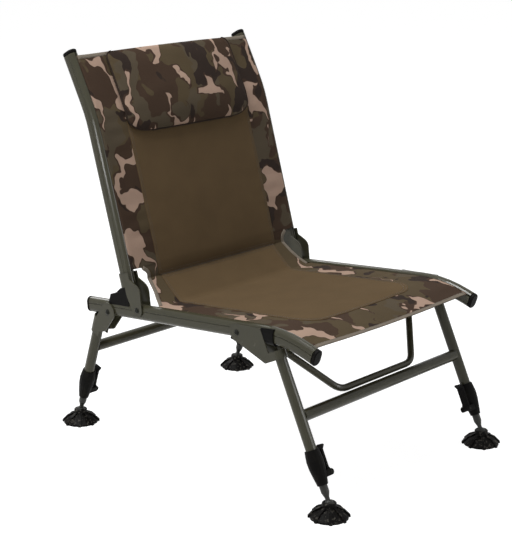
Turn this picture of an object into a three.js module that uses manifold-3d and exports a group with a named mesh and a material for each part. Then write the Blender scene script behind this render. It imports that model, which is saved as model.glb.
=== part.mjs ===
// Low folding carp chair: a sling stretched between two slotted seat rails and two bent, slotted back tubes.
// The back folds forward onto the seat, both leg pairs fold under it, and four telescopic legs with
// lever clamps end in tilting mud feet. Millimetres, +Z up, the chair faces -Y.
// The origin is on the ground, midway between the front and rear feet.
import * as THREE from 'three';
import { mergeVertices } from 'three/addons/utils/BufferGeometryUtils.js';
import Module from 'manifold-3d';

const wasm = await Module();
wasm.setup();

// Clearances and counts
const GAP = 0.3; // between pieces that touch
const MERGE = 0.1; // points of an outline that are closer are one point
const OVERRUN = 40; // how far a cutting solid runs past what it cuts
const QUARTER_STEPS = 5; // flat faces in a quarter of a tube
const THIN_QUARTER_STEPS = 4; // flat faces in a quarter of a thin tube
const BORE_QUARTER_STEPS = 3; // flat faces in a quarter of a tube's bore or a pin
const BEND_STEPS = 5; // sections in a bend
const LATHE_STEPS = 16; // flat faces round a turned piece

// Chair layout
const RAIL_SPACING = 490; // between the rails' centre lines
const RAIL_MIDDLE_HEIGHT = 305; // rail centre line above the ground, at the middle of the chair
const RAIL_SLOPE = 5.3; // degrees, rising to the front
const BACK_RECLINE = 16.5; // degrees behind the vertical, below the back's bend
const FRONT_LEG_SPLAY = 25.5; // degrees, foot forward
const REAR_LEG_SPLAY = 18.4; // degrees, foot rearward
const BALL_HEIGHT = 26; // ball joint of a foot above the ground

// Pivot rivets: place along the chair, height against the rail's centre line, distance to the tube's axis
const BACK_PIVOT = { y: 148, rise: 5.7, toTube: 21 };
const FRONT_PIVOT = { y: -131, rise: -3.6, toTube: 77.5 };
const REAR_PIVOT = { y: 239, rise: -7.8, toTube: 29.7 };

// Seat rails
const RAIL_WIDTH = 21;
const RAIL_HEIGHT = 33;
const RAIL_WALL = 1.8;
const RAIL_REAR_END = 300; // behind the middle of the chair
const RAIL_BEND_START = -187; // where the rail starts to bend down, along the chair
const RAIL_BEND_RADIUS = 283;
const RAIL_NOSE_DROP = 18; // degrees below the horizontal
const RAIL_NOSE_LENGTH = 15;
const RAIL_GROOVE = { depth: 1.1, width: 3, rise: 3.4 }; // line along the rail's outer side
const RAIL_SLOT_RISE = 10; // slot centre above the rail's centre line
const SLOT_WIDTH = 2.8;

// Back tubes, of the rails' profile with the slot in front, and the hidden bar that holds them apart;
// heights are measured along the tube from the level of the hinge rivet
const BACK_TUBE_START = 55;
const BACK_BEND_START = 374;
const BACK_BEND_ANGLE = 11.6; // degrees, upper end rearward
const BACK_BEND_RADIUS = 283;
const BACK_BEND_STEPS = 3;
const BACK_TUBE_END = 534;
const SPREADER_DIAMETER = 16;
const SPREADER_WALL = 1.5;
const SPREADER_HEIGHT = 356;
const SPREADER_BOW = 26; // rearward, in the middle
const SPREADER_STEPS = 6;

// Legs: heights are measured up the leg from the foot's ball, and drops down the leg from the pivot rivet
const LEG_DIAMETER = 22;
const LEG_WALL = 1.8;
const LEG_START = 62;
const LEG_RECESS = 2; // leg tube's upper end below the top of its bracket's web
const CROSSBAR_DIAMETER = 23;
const CROSSBAR_WALL = 1.6;
const CROSSBAR_END_INSET = 6; // bar end short of the leg's axis
const FRONT_CROSSBAR_HEIGHT = 169;
const REAR_CROSSBAR_HEIGHT = 165;
const INNER_LEG_DIAMETER = 16;
const INNER_LEG_END = 200;
const INNER_LEG_BORE = { diameter: 12, start: 60 };
const NECK = { diameter: 9, coneStart: 13, coneEnd: 23 };

// Dropped brace: a U-shaped tube between the front brackets; its places are out from the leg
const BRACE_DIAMETER = 14;
const BRACE_WALL = 1.5;
const BRACE_ROOT = { out: 51.5, drop: 13 };
const BRACE_BOTTOM = { out: 7.5, rise: 19.5 }; // rise above the crossbar's axis
const BRACE_HALF_WIDTH = 112.5; // to the virtual corner of the U
const BRACE_BEND_RADIUS = 38;

// Pressed brackets: two ears beside the rail and a web wrapped round the tube
const PLATE = 2.5;
const EAR_ROOT = 17; // straight sides of the web, under the ears
const RIVET_DIAMETER = 7.6;
const RIVET_HEAD = { diameter: 12, flat: 6, height: 2.6 };
const HINGE_BRACKET = { low: 50, high: 79, lobe: 14 }; // heights from the level of the hinge rivet
const HINGE_KNEE = { out: 20, up: 35, radius: 21 };
const FRONT_BRACKET = {
  drop: 72.5, // lower edge of the web below the rivet
  lobe: 18,
  innerLobe: 11.5, // the inner ears pass under the sling's edge
  edgeOut: 14.4, // front edge of the ears, out from the tube's axis
};
const FRONT_TIP = { drop: 9.5, radius: 4 };
const FRONT_HEEL = { out: 28, drop: 66.5, radius: 6 };
const REAR_BRACKET = { drop: 66.5, lobe: 19.5 };
const REAR_HEEL = { out: 29, drop: 41.5, radius: 6 };

// Moulded stops on the rails
const STOP_CLEARANCE = 0.4;
const BACK_STOP = {
  width: 20,
  front: 176,
  rear: 237,
  edge: 5,
  rearFace: 15,
  shelfY: 216,
  shelfRise: 18.5,
  crownOut: 4, // front end of the crown, behind the tube's axis
};
const LEG_STOP = { front: -223, thickness: 2.6, outerRise: 12.6, innerRise: 6.5 };

// Plugs
const PLUG_HEAD = 8;
const PLUG_STEM = 7;
const PLUG_EDGE = 1.8;

// Lever clamps on the legs
const CLAMP_START = 37;
const CLAMP_LENGTH = 68;
const CLAMP_BOTTOM_DIAMETER = 21;
const CLAMP_BELLY = { diameter: 33, share: 0.6 };
const CLAMP_TOP_DIAMETER = 27;
const CLAMP_CURVE_STEPS = 5;
const CLAMP_PIN = { diameter: 5, out: 22.5, up: 18 }; // from the leg's axis and the clamp's lower end
const CHEEK = { thickness: 3, radius: 6, inset: 16 };
const LEVER = { width: 16, root: 5.2, shoulder: 10.4, length: 54, thickness: 5, hook: 6, hookRise: 9 };

// Mud feet
const FOOT_RADIUS = 40;
const FOOT_RIM = { radius: 37.5, height: 4, inner: 33 };
const FOOT_SHOULDER = { radius: 27, height: 13 };
const FOOT_ROOF = { radius: 20, height: 12, drop: 2 };
const COLLAR = { radius: 14, base: 19, edge: 1.5 };
const FOOT_RIBS = 8;
const RIB_WIDTH = 6;
const RIB_RISE = 2;
const BALL_RADIUS = 9;
const BALL_LIP = 4; // socket's lip above the ball's centre
const BALL_CLEARANCE = 0.7;
const BALL_STEPS = 5;

// Sling and headrest
const CLOTH = 2;
const BEAD = { thickness: 4.2, width: 3.2 }; // cord in the sling's edge, inside the slotted tubes
const BINDING = { thickness: 3.4, width: 8 }; // tape round the sling's free edges at the crease
const SHEET_COLUMNS = 10;
const SHEET_EDGE_FLAT = 16; // flat strip of cloth beside the rails
const SEAT_SAG = 5;
const SEAT_FRONT_INSET = 9; // front hem behind the rail's front end
const SEAT_REAR_EDGE = 72; // end of the stretch of sling that stays with the rails, along the chair
const SEAT_SLOT_EDGE = 110; // where the sling leaves the rails' slots
const SEAT_FREE_START = 100; // start of the free edges' tape
const BACK_LOWER_EDGE = 83; // along the tube from the level of the hinge rivet
const BACK_HEM_DROP = 8; // top hem below the tubes' upper ends
const BACK_BULGE = { low: 5, high: 4 }; // cloth ahead of its edges in the middle, at the crease and the hem
const EAR_CLEARANCE = 2; // between the sling's free edges and the hinge brackets
// Stations of the crease: behind the hinge rivets, above the rails' centre line, steepness in degrees,
// free edge in from the rails' centre lines, and bulge in the middle
const CREASE_LOW = { behind: -26, rise: 18.5, steep: 32, inset: 23, bulge: -4 };
const CREASE_MIDDLE = { behind: -5.5, rise: 36.5, steep: 40, inset: 33, bulge: -2 };
const CREASE_HIGH = { behind: 16.5, rise: 60.5, steep: 61, inset: 39, bulge: 0 };
const CREASE_NOTCH = { drop: 10, inset: 39 }; // top of the free edges, below the back's slots
const HEADREST = {
  width: 352,
  height: 174,
  thickness: 18,
  edge: 5,
  hemGap: 2,
  lowerCorner: 55,
  upperCorner: 26,
};
const HEADREST_COLUMNS = 12;
const HEADREST_ROWS = 12;
const HEADREST_CROWN = 4; // power of the cushion's rounding: higher is flatter with steeper edges

// Finishes
const FRAME_PAINT = { color: 0x46473c, roughness: 0.45, metalness: 0.5 };
const RIVET_STEEL = { color: 0x5b5c52, roughness: 0.35, metalness: 0.8 };
const BLACK_PLASTIC = { color: 0x1c1d1c, roughness: 0.6, metalness: 0 };
const INNER_STEEL = { color: 0x3b3d36, roughness: 0.4, metalness: 0.6 };
const CAMO_CLOTH = { color: 0x4d3f31, roughness: 0.95, metalness: 0 };
const OLIVE_CLOTH = { color: 0x544733, roughness: 0.95, metalness: 0 };

const SIDES = [
  { name: 'right', sign: -1 },
  { name: 'left', sign: 1 },
];

// Small maths helpers
const QUARTER_TURN = Math.PI / 2;
const half = (value) => value / 2;
const radians = THREE.MathUtils.degToRad;
const mix = THREE.MathUtils.lerp;
const side3 = (y, z) => new THREE.Vector3(0, y, z);

// Closed mesh: shared vertices, no empty triangles, faces outwards
function closed(geometry) {
  const bare = geometry.clone();
  for (const name of Object.keys(bare.attributes)) {
    if (name !== 'position') bare.deleteAttribute(name);
  }
  const merged = mergeVertices(bare);
  const source = merged.index.array;
  const [a, b, c] = [new THREE.Vector3(), new THREE.Vector3(), new THREE.Vector3()];
  const kept = [];
  let volume = 0;
  for (let i = 0; i < source.length; i += 3) {
    const [p, q, r] = [source[i], source[i + 1], source[i + 2]];
    if (p === q || q === r || r === p) continue;
    kept.push(p, q, r);
    a.fromBufferAttribute(merged.attributes.position, p);
    b.fromBufferAttribute(merged.attributes.position, q);
    c.fromBufferAttribute(merged.attributes.position, r);
    volume += a.dot(b.cross(c));
  }
  if (volume < 0) kept.reverse();
  merged.setIndex(kept);
  return merged;
}

// Booleans on closed meshes
function solid(geometry) {
  const mesh = closed(geometry);
  return new wasm.Manifold(new wasm.Mesh({
    numProp: 3,
    vertProperties: new Float32Array(mesh.attributes.position.array),
    triVerts: new Uint32Array(mesh.index.array),
  }));
}

function fromSolid(manifold) {
  const mesh = manifold.getMesh();
  const geometry = new THREE.BufferGeometry();
  const places = new THREE.BufferAttribute(new Float32Array(mesh.vertProperties), mesh.numProp);
  geometry.setAttribute('position', places);
  geometry.setIndex(Array.from(mesh.triVerts));
  return geometry;
}

function joined(first, ...others) {
  return fromSolid(others.reduce((sum, geometry) => sum.add(solid(geometry)), solid(first)));
}

function cut(first, ...tools) {
  return fromSolid(tools.reduce((rest, geometry) => rest.subtract(solid(geometry)), solid(first)));
}

function common(first, second) {
  return fromSolid(solid(first).intersect(solid(second)));
}

// Outlines
function shapeOf(points) {
  return new THREE.Shape(points.map(([x, y]) => new THREE.Vector2(x, y)));
}

function arc(x, y, radius, from, to, steps) {
  return Array.from({ length: steps + 1 }, (_, i) => {
    const angle = mix(from, to, i / steps);
    return [x + radius * Math.cos(angle), y + radius * Math.sin(angle)];
  });
}

function distinct(points) {
  return points.filter(([x, y], i) => {
    const [lastX, lastY] = points[(i + points.length - 1) % points.length];
    return Math.hypot(x - lastX, y - lastY) > MERGE;
  });
}

// Round-ended upright outline, anticlockwise from its lowest point; straight is half its straight sides
// and waist is a list of extra points on the left side
function roundEnded(radius, straight, steps, waist = []) {
  return distinct([
    ...arc(0, -straight, radius, -QUARTER_TURN, 0, steps),
    ...arc(0, straight, radius, 0, 2 * QUARTER_TURN, 2 * steps),
    ...waist,
    ...arc(0, -straight, radius, 2 * QUARTER_TURN, 3 * QUARTER_TURN, steps),
  ]);
}

function reachAt(radius, straight, height) {
  const beyond = Math.max(0, Math.abs(height) - straight);
  return Math.sqrt(radius * radius - beyond * beyond);
}

// Tube section with a slot through the wall on one side; slotSide is +1 or -1 along the outline's x
function slotSection({ radius, straight, wall, rise, slotSide, waist }) {
  const low = rise - half(SLOT_WIDTH);
  const high = rise + half(SLOT_WIDTH);
  const openRing = (r, steps, extra) => {
    const ring = roundEnded(r, straight, steps, extra);
    const start = ring.findIndex(([x, y]) => x > 0 && y > high);
    return [
      [reachAt(r, straight, high), high],
      ...ring.slice(start),
      ...ring.slice(0, start).filter(([, y]) => y < low),
      [reachAt(r, straight, low), low],
    ];
  };
  const outer = openRing(radius, QUARTER_STEPS, waist);
  const inner = openRing(radius - wall, BORE_QUARTER_STEPS, []);
  return shapeOf([...outer, ...inner.reverse()].map(([x, y]) => [slotSide * x, y]));
}

// Convex outline round a set of corners [x, y, radius], as a pressed plate is cut
function belt(corners) {
  const points = corners.flatMap(([x, y, radius]) => (
    radius > 0 ? arc(x, y, radius, 0, 4 * QUARTER_TURN, 4 * QUARTER_STEPS).slice(1) : [[x, y]]
  ));
  points.sort((p, q) => p[0] - q[0] || p[1] - q[1]);
  const turn = (o, p, q) => (p[0] - o[0]) * (q[1] - o[1]) - (p[1] - o[1]) * (q[0] - o[0]);
  const chain = (list) => {
    const hull = [];
    for (const point of list) {
      while (hull.length > 1 && turn(hull[hull.length - 2], hull[hull.length - 1], point) <= 0) hull.pop();
      hull.push(point);
    }
    return hull.slice(0, -1);
  };
  return shapeOf(distinct([...chain(points), ...chain([...points].reverse())]));
}

// Path with one section at each station, so that straight stretches stay single faces
class StationPath extends THREE.Curve {
  constructor(points, tangents) {
    super();
    this.points = points;
    this.tangents = tangents;
  }

  getPointAt(share) {
    return this.points[Math.round(share * (this.points.length - 1))].clone();
  }

  getTangentAt(share) {
    return this.tangents[Math.round(share * (this.points.length - 1))].clone();
  }
}

function straightPath(from, to) {
  const tangent = to.clone().sub(from).normalize();
  return new StationPath([from, to], [tangent, tangent]);
}

// Straight legs joined by bends of one radius, through the given corners
function bentPath(corners, radius) {
  const direction = (i) => corners[i + 1].clone().sub(corners[i]).normalize();
  const points = [corners[0]];
  const tangents = [direction(0)];
  for (let i = 1; i < corners.length - 1; i += 1) {
    const before = direction(i - 1);
    const after = direction(i);
    const bend = before.angleTo(after);
    const axis = before.clone().cross(after).normalize();
    const start = corners[i].clone().addScaledVector(before, -radius * Math.tan(half(bend)));
    const centre = start.clone().addScaledVector(axis.clone().cross(before), radius);
    for (let step = 0; step <= BEND_STEPS; step += 1) {
      const angle = bend * step / BEND_STEPS;
      points.push(start.clone().sub(centre).applyAxisAngle(axis, angle).add(centre));
      tangents.push(before.clone().applyAxisAngle(axis, angle));
    }
  }
  points.push(corners[corners.length - 1]);
  tangents.push(direction(corners.length - 2));
  return new StationPath(points, tangents);
}

function sweep(shape, path) {
  return new THREE.ExtrudeGeometry(shape, {
    steps: path.points.length - 1,
    extrudePath: path,
    curveSegments: 1,
  });
}

function ringShape(outline, hole) {
  const shape = shapeOf(outline);
  shape.holes.push(shapeOf(hole));
  return shape;
}

function tubeShape(diameter, wall, steps = QUARTER_STEPS) {
  const radius = half(diameter);
  return ringShape(roundEnded(radius, 0, steps), roundEnded(radius - wall, 0, BORE_QUARTER_STEPS));
}

// Extrusion upwards from low to high
function upright(shape, low, high) {
  const settings = { depth: high - low, bevelEnabled: false, curveSegments: 1 };
  return new THREE.ExtrudeGeometry(shape, settings).translate(0, 0, low);
}

// Plate whose outline is drawn as [y, z], between two places along X
function plateAcross(shape, low, high) {
  const turn = new THREE.Matrix4().makeBasis(
    new THREE.Vector3(0, 1, 0), new THREE.Vector3(0, 0, 1), new THREE.Vector3(1, 0, 0),
  );
  return upright(shape, low, high).applyMatrix4(turn);
}

// Plate whose outline is drawn as [x, z], between two places along Y
function plateAlong(shape, low, high) {
  return upright(shape, -high, -low).rotateX(QUARTER_TURN);
}

// Round bars along each axis, used as pins and cutting tools
function barUpright(diameter, low, high, sides = LATHE_STEPS) {
  return new THREE.CylinderGeometry(half(diameter), half(diameter), high - low, sides)
    .rotateX(QUARTER_TURN).translate(0, 0, half(low + high));
}

function barAcross(diameter, reach) {
  return barUpright(diameter, -reach, reach, 4 * BORE_QUARTER_STEPS).rotateY(QUARTER_TURN);
}

function barAlong(diameter, reach) {
  return barUpright(diameter, -reach, reach, 4 * BORE_QUARTER_STEPS).rotateX(QUARTER_TURN);
}

// Turned piece about the local Z axis; profile points are [radius, height]
function turned(profile, steps = LATHE_STEPS) {
  const points = [...profile, profile[0]].map(([radius, height]) => new THREE.Vector2(radius, height));
  return closed(new THREE.LatheGeometry(points, steps).rotateX(QUARTER_TURN));
}

// Skin through outlines placed along stations: { outline: [[x, lift], ...], at, normal }
function loft(stations) {
  const rings = stations.map(({ outline, at, normal }) => outline.map(([x, lift]) => (
    new THREE.Vector3(x, 0, 0).add(at).addScaledVector(normal, lift)
  )));
  const count = rings[0].length;
  const faces = [];
  for (let i = 0; i + 1 < rings.length; i += 1) {
    for (let j = 0; j < count; j += 1) {
      const here = i * count + j;
      const next = i * count + (j + 1) % count;
      faces.push(here, next, next + count, here, next + count, here + count);
    }
  }
  const lastRing = (rings.length - 1) * count;
  const capOf = ({ outline }) => THREE.ShapeUtils.triangulateShape(
    outline.map(([x, lift]) => new THREE.Vector2(x, lift)), [],
  );
  for (const [p, q, r] of capOf(stations[0])) faces.push(r, q, p);
  for (const [p, q, r] of capOf(stations[stations.length - 1])) {
    faces.push(lastRing + p, lastRing + q, lastRing + r);
  }
  const geometry = new THREE.BufferGeometry().setFromPoints(rings.flat());
  geometry.setIndex(faces);
  return closed(geometry);
}

function piece(name, geometry, finish) {
  const mesh = new THREE.Mesh(geometry, new THREE.MeshStandardMaterial(finish));
  mesh.name = name;
  return mesh;
}

// Rail centre line in side view: straight, then one bend down to the nose
const slope = radians(RAIL_SLOPE);
const noseDrop = radians(RAIL_NOSE_DROP);
const acrossRail = side3(Math.sin(slope), Math.cos(slope)); // upwards, square to the rail
const rearward = (angle) => side3(Math.cos(angle), Math.sin(angle));
const upward = (angle) => side3(-Math.sin(angle), Math.cos(angle));

function onRail(y, rise = 0) {
  return side3(y, RAIL_MIDDLE_HEIGHT - y * Math.tan(slope)).addScaledVector(acrossRail, rise);
}

// Stations of the rail from near its front end to a place along the chair, shifted square to it by rise
function railPath(rise, frontInset, rearEnd) {
  const centre = onRail(RAIL_BEND_START, -RAIL_BEND_RADIUS);
  const onBend = (angle) => centre.clone().addScaledVector(upward(angle), RAIL_BEND_RADIUS + rise);
  const points = [onBend(noseDrop).addScaledVector(rearward(noseDrop), frontInset - RAIL_NOSE_LENGTH)];
  const tangents = [rearward(noseDrop)];
  for (let step = 0; step <= BEND_STEPS; step += 1) {
    const angle = mix(noseDrop, -slope, step / BEND_STEPS);
    points.push(onBend(angle));
    tangents.push(rearward(angle));
  }
  points.push(onRail(rearEnd, rise));
  tangents.push(rearward(-slope));
  return new StationPath(points, tangents);
}

// Side-view frames of the tubes: local Z up the tube, local Y out towards the rivet.
// lean tips the tube's upper end rearward; facing is +1 where the rivet is behind the tube
function tubeFrame(pivot, lean, facing, baseHeight) {
  const up = side3(Math.sin(lean), Math.cos(lean));
  const out = side3(Math.cos(lean), -Math.sin(lean)).multiplyScalar(facing);
  const rivetPlace = onRail(pivot.y, pivot.rise);
  const level = rivetPlace.clone().addScaledVector(out, -pivot.toTube);
  const drop = baseHeight === undefined ? 0 : (level.z - baseHeight) / up.z;
  const origin = level.clone().addScaledVector(up, -drop);
  return { up, out, facing, rivet: rivetPlace, origin, pivotOut: pivot.toTube, pivotUp: drop };
}

const frontLeg = tubeFrame(FRONT_PIVOT, radians(FRONT_LEG_SPLAY), 1, BALL_HEIGHT);
const rearLeg = tubeFrame(REAR_PIVOT, radians(-REAR_LEG_SPLAY), -1, BALL_HEIGHT);
const back = tubeFrame(BACK_PIVOT, radians(BACK_RECLINE), -1);

function inFrame(frame, out, up) {
  return frame.origin.clone().addScaledVector(frame.out, out).addScaledVector(frame.up, up);
}

function frameGroup(frame, x) {
  const group = new THREE.Group();
  const turn = new THREE.Matrix4().makeBasis(new THREE.Vector3(frame.facing, 0, 0), frame.out, frame.up);
  group.quaternion.setFromRotationMatrix(turn);
  group.position.copy(frame.origin).setX(x);
  return group;
}

// Place and directions at a height along the back tubes: straight, one bend rearwards, then straight
const backTurn = radians(BACK_BEND_ANGLE);
const backBendEnd = BACK_BEND_START + BACK_BEND_RADIUS * backTurn;

function backAt(height) {
  const beyondStart = THREE.MathUtils.clamp(height, BACK_BEND_START, backBendEnd) - BACK_BEND_START;
  const lean = radians(BACK_RECLINE) + beyondStart / BACK_BEND_RADIUS;
  const along = side3(Math.sin(lean), Math.cos(lean));
  const forward = side3(-Math.cos(lean), Math.sin(lean));
  const at = inFrame(back, -BACK_BEND_RADIUS, Math.min(height, BACK_BEND_START))
    .addScaledVector(forward, BACK_BEND_RADIUS)
    .addScaledVector(along, Math.max(0, height - backBendEnd));
  return { at, along, forward };
}

function backHeights(low, high) {
  const bend = Array.from({ length: BACK_BEND_STEPS + 1 }, (_, i) => (
    mix(BACK_BEND_START, backBendEnd, i / BACK_BEND_STEPS)
  ));
  return [low, ...bend.filter((height) => height > low + MERGE && height < high - MERGE), high];
}

function backPath(low, high) {
  const places = backHeights(low, high).map(backAt);
  return new StationPath(places.map(({ at }) => at), places.map(({ along }) => along));
}

const railX = (side) => side.sign * half(RAIL_SPACING);
const railRadius = half(RAIL_WIDTH);
const railStraight = half(RAIL_HEIGHT - RAIL_WIDTH);
const hingeInner = railRadius + GAP;
const legInner = half(LEG_DIAMETER) + GAP;

// Line pressed along the outer side of the rails and the back tubes
const railGroove = [
  [-railRadius, RAIL_GROOVE.rise + half(RAIL_GROOVE.width)],
  [RAIL_GROOVE.depth - railRadius, RAIL_GROOVE.rise],
  [-railRadius, RAIL_GROOVE.rise - half(RAIL_GROOVE.width)],
];

// Seat rail; a section swept rearwards is seen mirrored, its x axis points to -X
function rail(side) {
  const section = slotSection({
    radius: railRadius,
    straight: railStraight,
    wall: RAIL_WALL,
    rise: RAIL_SLOT_RISE,
    slotSide: side.sign,
    waist: railGroove,
  });
  const holes = [back, frontLeg, rearLeg].map((frame) => (
    barAcross(RIVET_DIAMETER + 2 * GAP, RAIL_WIDTH).translate(0, frame.rivet.y, frame.rivet.z)
  ));
  return cut(sweep(section, railPath(0, 0, RAIL_REAR_END)), ...holes);
}

// Back tube, with the slot along the middle of its front; its section's y axis points forward
function backTube(side) {
  const outline = roundEnded(railRadius, railStraight, QUARTER_STEPS, railGroove);
  const profile = ringShape(
    outline.map(([x, y]) => [side.sign * x, y]),
    roundEnded(railRadius - RAIL_WALL, railStraight, BORE_QUARTER_STEPS),
  );
  const lip = half(SLOT_WIDTH);
  const slot = shapeOf([[-lip, railStraight], [lip, railStraight], [lip, OVERRUN], [-lip, OVERRUN]]);
  return cut(
    sweep(profile, backPath(BACK_TUBE_START, BACK_TUBE_END)),
    sweep(slot, backPath(BACK_TUBE_START - OVERRUN, BACK_TUBE_END + OVERRUN)),
  );
}

// Plug for an open tube end: a rounded head outside, along local Z, and a stem inside
function plug(radius, straight, wall) {
  const head = new THREE.ExtrudeGeometry(shapeOf(roundEnded(radius - PLUG_EDGE, straight, QUARTER_STEPS)), {
    depth: PLUG_HEAD - 2 * PLUG_EDGE,
    bevelSize: PLUG_EDGE,
    bevelThickness: PLUG_EDGE,
    bevelSegments: 1,
    curveSegments: 1,
  }).translate(0, 0, PLUG_EDGE + GAP);
  const stem = roundEnded(radius - wall - 2 * GAP, straight, BORE_QUARTER_STEPS);
  return joined(head, upright(shapeOf(stem), -PLUG_STEM, half(PLUG_HEAD)));
}

// Plug at the end of a rail or a back tube; outward is the direction away from the tube, in side view
function railCap(name, at, outward) {
  const cap = piece(name, plug(railRadius, railStraight, RAIL_WALL), BLACK_PLASTIC);
  const up = side3(-outward.z, outward.y).multiplyScalar(Math.sign(outward.y));
  const turn = new THREE.Matrix4().makeBasis(up.clone().cross(outward), up, outward);
  cap.quaternion.setFromRotationMatrix(turn);
  cap.position.copy(at);
  return cap;
}

// Moulded block on the rail behind the hinge; the back's bracket rests on its crown when open
function backStop() {
  const above = (y, rise) => [y, onRail(y, half(RAIL_HEIGHT)).z + rise];
  const web = HINGE_BRACKET.low - GAP;
  const crownRear = inFrame(back, -railStraight - hingeInner - PLATE, web);
  const crownFront = inFrame(back, -BACK_STOP.crownOut, web);
  const outline = [
    above(BACK_STOP.front, -railRadius),
    above(BACK_STOP.rear, -railRadius),
    above(BACK_STOP.rear, 0),
    above(BACK_STOP.rear - BACK_STOP.edge, BACK_STOP.rearFace),
    above(BACK_STOP.shelfY, BACK_STOP.shelfRise),
    [crownRear.y, crownRear.z],
    [crownFront.y, crownFront.z],
    above(crownFront.y - BACK_STOP.edge, BACK_STOP.shelfRise),
    above(BACK_STOP.front, 0),
  ];
  const body = plateAcross(shapeOf(outline), -half(BACK_STOP.width), half(BACK_STOP.width));
  const bed = sweep(
    shapeOf(roundEnded(railRadius + STOP_CLEARANCE, railStraight, QUARTER_STEPS)),
    straightPath(onRail(BACK_STOP.front - OVERRUN), onRail(BACK_STOP.rear + OVERRUN)),
  );
  return cut(body, bed);
}

// Moulded saddle round the rail; the front legs' ears come to rest against its rear face
function legStop(side) {
  const ring = ringShape(
    roundEnded(railRadius + GAP + LEG_STOP.thickness, railStraight, QUARTER_STEPS),
    roundEnded(railRadius + GAP, railStraight, QUARTER_STEPS),
  );
  const sleeve = sweep(ring, railPath(0, 0, RAIL_REAR_END));
  const face = FRONT_BRACKET.edgeOut - GAP;
  const low = inFrame(frontLeg, face, frontLeg.pivotUp - 2 * RAIL_HEIGHT);
  const high = inFrame(frontLeg, face, frontLeg.pivotUp);
  const stretch = shapeOf([
    [LEG_STOP.front, low.z],
    [low.y, low.z],
    [high.y, high.z],
    [LEG_STOP.front, high.z],
  ]);
  const kept = common(sleeve, plateAcross(stretch, -OVERRUN, OVERRUN));
  const above = (rise) => {
    const [front, rear] = [LEG_STOP.front - OVERRUN, high.y + OVERRUN];
    return shapeOf([
      [front, onRail(front, rise).z],
      [rear, onRail(rear, rise).z],
      [rear, onRail(rear, 2 * OVERRUN).z],
      [front, onRail(front, 2 * OVERRUN).z],
    ]);
  };
  const [left, right] = [0, -side.sign * OVERRUN].sort((p, q) => p - q);
  return cut(
    kept,
    plateAcross(above(LEG_STOP.outerRise), -OVERRUN, OVERRUN),
    plateAcross(above(LEG_STOP.innerRise), left, right),
  );
}

// Rivet through two ears and what lies between them, along X
function rivet(innerHalf) {
  const end = innerHalf + PLATE + GAP;
  const top = end + RIVET_HEAD.height;
  const dome = (direction) => [
    [half(RIVET_HEAD.diameter), direction * end],
    [half(RIVET_HEAD.diameter) - half(RIVET_HEAD.height), direction * half(end + top)],
    [half(RIVET_HEAD.flat), direction * top],
    [0, direction * top],
  ];
  const shank = [-end, end].map((height) => [half(RIVET_DIAMETER), height]);
  const profile = [...dome(-1).reverse(), ...shank, ...dome(1)];
  return turned(profile, 4 * BORE_QUARTER_STEPS).rotateY(QUARTER_TURN);
}

// Bracket: a web wrapped round the tube's far side, two ears towards the rivet and the rivet's holes.
// innerSide is +1 or -1, the ear nearer the middle of the chair; straight is half the tube's flat sides
function bracket(frame, innerHalf, innerSide, { low, high, corners, innerCorners, straight = 0 }) {
  const outer = innerHalf + PLATE;
  const web = shapeOf([
    [outer, EAR_ROOT],
    [innerHalf, EAR_ROOT],
    ...arc(0, -straight, innerHalf, 0, -2 * QUARTER_TURN, 2 * QUARTER_STEPS),
    [-innerHalf, EAR_ROOT],
    [-outer, EAR_ROOT],
    ...arc(0, -straight, outer, -2 * QUARTER_TURN, 0, 2 * QUARTER_STEPS),
  ]);
  const ears = innerSide > 0 ? [innerCorners, corners] : [corners, innerCorners];
  const body = joined(
    upright(web, low, high),
    plateAcross(belt(ears[0]), innerHalf, outer),
    plateAcross(belt(ears[1]), -outer, -innerHalf),
  );
  const hole = barAcross(RIVET_DIAMETER + 2 * GAP, outer + OVERRUN);
  return cut(body, hole.translate(0, frame.pivotOut, frame.pivotUp));
}

function addHinge(group, frame, side, names, innerHalf, plate) {
  const pin = piece(names.rivet, rivet(innerHalf), RIVET_STEEL);
  pin.position.set(0, frame.pivotOut, frame.pivotUp);
  const innerSide = -side.sign * frame.facing;
  group.add(piece(names.bracket, bracket(frame, innerHalf, innerSide, plate), FRAME_PAINT), pin);
}

// Height up a tube's frame at which a place out from its axis meets a rise above the straight rail's
// centre line
function upToRise(frame, out, rise) {
  const base = inFrame(frame, out, 0).sub(onRail(0)).dot(acrossRail);
  return (rise - base) / frame.up.dot(acrossRail);
}

// The same for a rise above the centre line of the rail's bend
function upToBend(frame, out, rise) {
  const fromCentre = inFrame(frame, out, 0).sub(onRail(RAIL_BEND_START, -RAIL_BEND_RADIUS));
  const along = fromCentre.dot(frame.up);
  return Math.sqrt(along ** 2 - fromCentre.lengthSq() + (RAIL_BEND_RADIUS + rise) ** 2) - along;
}

const hingeEar = [
  [back.pivotOut, back.pivotUp, HINGE_BRACKET.lobe],
  [HINGE_KNEE.out, HINGE_KNEE.up, HINGE_KNEE.radius],
  [0, HINGE_BRACKET.low, 0],
  [0, HINGE_BRACKET.high, 0],
];
const hingePlate = {
  low: HINGE_BRACKET.low,
  high: HINGE_BRACKET.high,
  corners: hingeEar,
  innerCorners: hingeEar,
  straight: railStraight,
};

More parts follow.
